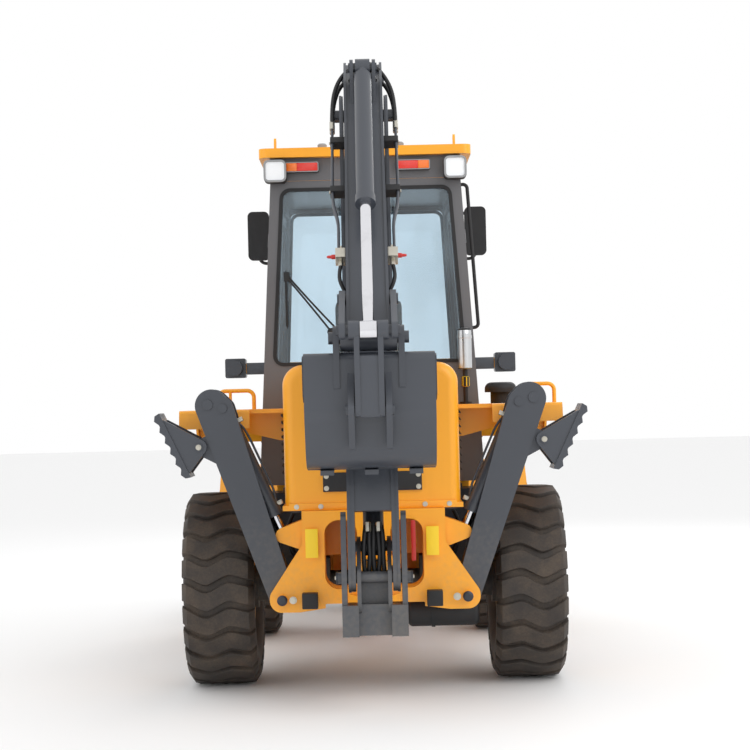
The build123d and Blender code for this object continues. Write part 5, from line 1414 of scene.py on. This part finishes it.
@dataclass
class Service:
    """Silver filter case with its yellow fitting behind the cab."""

    x: float = 0.592
    behind: float = 0.07
    case_foot: float = 1.898
    fitting_foot: float = 1.788

    def build(self) -> None:
        """Make the case and the fitting."""
        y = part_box("cab_shell")[0].y - self.behind
        case = [(0, 0.036), (0.006, 0.0435), (0.19, 0.0435), (0.192, 0.046), (0.21, 0.046),
                (0.212, 0.0435), (0.238, 0.0435), (0.25, 0.036), (0.255, 0.02)]
        fitting = [(0, 0.02), (0.004, 0.0255), (0.06, 0.0255), (0.064, 0.02)]
        for name, foot, profile, sides, finish in (
            ("filter_case", self.case_foot, case, 32, Finish.SILVER),
            ("filter_fitting", self.fitting_foot, fitting, 6, Finish.PLATE),
        ):
            piece = Piece(name)
            piece.turned((self.x, y, foot), (self.x, y, foot + 1), profile, sides)
            piece.done("chassis", finish)


@dataclass
class RoofShadeBand:
    """Grey sheets in the cab's paint round the band under the roof's yellow cap: painted shade that stands in
    for the roof's shaded underside.
    """

    half: float = 0.595
    z: Pair = (3.101, 3.242)
    sheet: float = 0.003
    gap: float = 0.0002
    corner: float = 0.03

    def build(self) -> None:
        """Make the four sheets."""
        shell_low, shell_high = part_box("cab_shell")
        low, high = self.z
        # Painted shade: grey sheets where the roof's underside lies in shade.
        band = Piece("roof_underside_shade")
        for face, way in ((shell_low.y, -1), (shell_high.y, 1)):
            band.box((-self.half, face + way * self.sheet, low), (self.half, face + way * self.gap, high))
        for side in SIDES:
            band.box((side * (self.half + self.gap), shell_low.y + self.corner, low),
                     (side * (self.half + self.sheet), shell_high.y - self.corner, high))
        band.done("chassis", Finish.CAB)


@dataclass
class LampBrackets:
    """Slate sleeves on the arms that carry the head lamps."""

    x: Pair = (0.60, 0.896)
    y: Pair = (0.5767, 0.6207)
    z: Pair = (1.9275, 2.0125)

    def build(self) -> None:
        """Make a sleeve on each side."""
        sleeves = Piece("lamp_bracket_sleeves")
        for side in SIDES:
            inner, outer = ((side * x, y, z) for x, y, z in zip(self.x, self.y, self.z))
            sleeves.box(inner, outer, 0.003)
        sleeves.done("front_chassis", Finish.SLATE)


@dataclass
class FrameHoses:
    """Hoses that come out of the backhoe frame towards the stabilizer rams, and their clamps."""

    radius: float = 0.011
    pitch: float = 0.03
    clip_x: Pair = (0.47, 0.53)
    clip_z: Pair = (0.905, 0.93)

    def build(self) -> None:
        """Make both sides' hoses, fixed to the frame along their way."""
        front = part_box("backhoe_frame")[1].y
        hoses = Piece("frame_hoses")
        clips = Piece("frame_hose_clips")
        for side in SIDES:
            for step in (0.0, self.pitch):
                route = ((0.40, 0.72), (0.45 + step, 0.80), (0.50, 0.90), (0.505, 1.0), (0.47, 1.06))
                hoses.tube([(side * x, front + 0.022 + step, z) for x, z in route], self.radius)
            clips.box((side * self.clip_x[0], front - 0.001, self.clip_z[0]),
                      (side * self.clip_x[1], front + 0.068, self.clip_z[1]), 0.003)
        hoses.done("chassis", Finish.HOSE)
        clips.done("chassis", Finish.PIN)


@dataclass
class FrameDress:
    """Finishes of the frame's own solids."""

    finishes: dict[Finish, tuple[str, ...]] = field(default_factory=lambda: {
        Finish.YELLOW: ("backhoe_frame", "rear_frame", "engine_hood", "rear_fenders", "fender_rails",
                        "cab_roof", "front_frame", "front_fenders", "loader_arms"),
        Finish.SLATE: ("boom", "dipper", "backhoe_bucket", "guide_links", "power_link", "swing_post",
                       "boom_barrel", "dipper_barrel", "bucket_barrel", "loader_bucket", "tilt_lever",
                       "tilt_link", "tilt_barrel", "lift_barrels", "body_skirt", "side_tanks",
                       "head_lamps", *both("stabilizer_leg"), *both("stabilizer_barrel"),
                       *both("stabilizer_pad")),
        Finish.CAB: ("cab_shell", *both("door")),
        Finish.CASTING: ("rear_axle", "front_axle", "engine_block"),
        Finish.BLACK: ("mirrors", "cab_interior", "cab_lamps", "service_fittings"),
        Finish.GLASS: ("cab_glass", *both("door_glass")),
        Finish.CHROME: ("tilt_rod", "lift_rods", "boom_rod", "dipper_rod", "bucket_rod",
                        *both("stabilizer_rod")),
        Finish.TYRE: tuple(f"tyre_{name}" for name in WHEELS),
        Finish.RIM: tuple(f"rim_{name}" for name in WHEELS),
    })

    def dress(self) -> None:
        """Give every solid its finish."""
        for finish, names in self.finishes.items():
            for name in names:
                slots = frame["nodes"][name].data.materials
                slots.clear()
                slots.append(finish.material)
            LOG.info("%s on %d solids", finish.name.lower(), len(names))


@dataclass
class Studio:
    """Floor, soft lights and the camera behind the machine."""

    eye: Place = (0.02, -12.4, 1.7)
    picture_width: float = 750.0
    focal_pixels: float = 1793.0
    centre_pixel: Pair = (374.0, 403.0)
    roll_degrees: float = -1.4
    sensor: float = 36.0
    floor_half: float = 60.0
    floor_shade: float = 0.9
    sky: float = 1.0
    aim: Place = (0.0, -1.5, 1.6)
    lights: tuple[tuple[str, Place, float, float], ...] = (
        ("key", (7.0, -9.0, 8.0), 8.0, 420.0),
        ("fill", (-8.0, -10.0, 5.0), 7.0, 90.0),
        ("rim", (3.0, 8.0, 8.0), 5.0, 250.0),
    )

    def build(self) -> None:
        """Make the floor, the lights and the camera."""
        bpy.context.scene.view_settings.view_transform = "Standard"
        self.add_floor()
        self.add_lights()
        self.add_camera()
        LOG.info("studio ready")

    def add_floor(self) -> None:
        """Plain pale floor."""
        mesh = bpy.data.meshes.new("floor")
        half, shade = self.floor_half, self.floor_shade
        corners = [(-half, -half, 0), (half, -half, 0), (half, half, 0), (-half, half, 0)]
        mesh.from_pydata(corners, [], [(0, 1, 2, 3)])
        floor = bpy.data.objects.new("floor", mesh)
        bpy.context.scene.collection.objects.link(floor)
        finish = Surface("floor_finish").finish({"Base Color": (shade, shade, shade, 1.0), "Roughness": 0.9})
        mesh.materials.append(finish)

    def add_lights(self) -> None:
        """White surroundings, a soft key from the right, a weak fill, and a rim light from ahead."""
        world = bpy.data.worlds.new("studio")
        bpy.context.scene.world = world
        world.use_nodes = True
        backdrop = world.node_tree.nodes["Background"]
        backdrop.inputs[0].default_value = WHITE
        backdrop.inputs[1].default_value = self.sky
        for name, place, size, power in self.lights:
            lamp = bpy.data.lights.new(name, "AREA")
            lamp.size = size
            lamp.energy = power
            light = bpy.data.objects.new(name, lamp)
            light.location = place
            light.rotation_euler = (Vector(self.aim) - Vector(place)).to_track_quat("-Z", "Y").to_euler()
            bpy.context.scene.collection.objects.link(light)

    def add_camera(self) -> None:
        """Level camera behind the machine, with the photograph's framing."""
        width = self.picture_width
        lens = bpy.data.cameras.new("camera")
        lens.sensor_width = self.sensor
        lens.lens = self.sensor * self.focal_pixels / width
        lens.shift_x = (width / 2 - self.centre_pixel[0]) / width
        lens.shift_y = (self.centre_pixel[1] - width / 2) / width
        camera = bpy.data.objects.new("camera", lens)
        camera.location = self.eye
        level = Matrix.Rotation(math.radians(90), 4, "X")
        roll = Matrix.Rotation(math.radians(self.roll_degrees), 4, "Z")
        camera.rotation_euler = (level @ roll).to_euler()
        bpy.context.scene.collection.objects.link(camera)
        bpy.context.scene.camera = camera


def main() -> None:
    """Build every sub-assembly in order."""
    logging.basicConfig(level=logging.INFO, format="%(message)s")
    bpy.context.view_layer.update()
    FrameDress().dress()
    assemblies = (
        Lamps(), RoofShadeBand(), LampBrackets(), Cab(), Hood(), BackhoeFrame(), FrameHoses(), DipperLines(),
        BackhoePins(), Stabilizers(), Service(), WheelDetails(), *(Tyre(name) for name in WHEELS),
    )
    for assembly in assemblies:
        assembly.build()
    Studio().build()


if __name__ == "__main__":
    main()
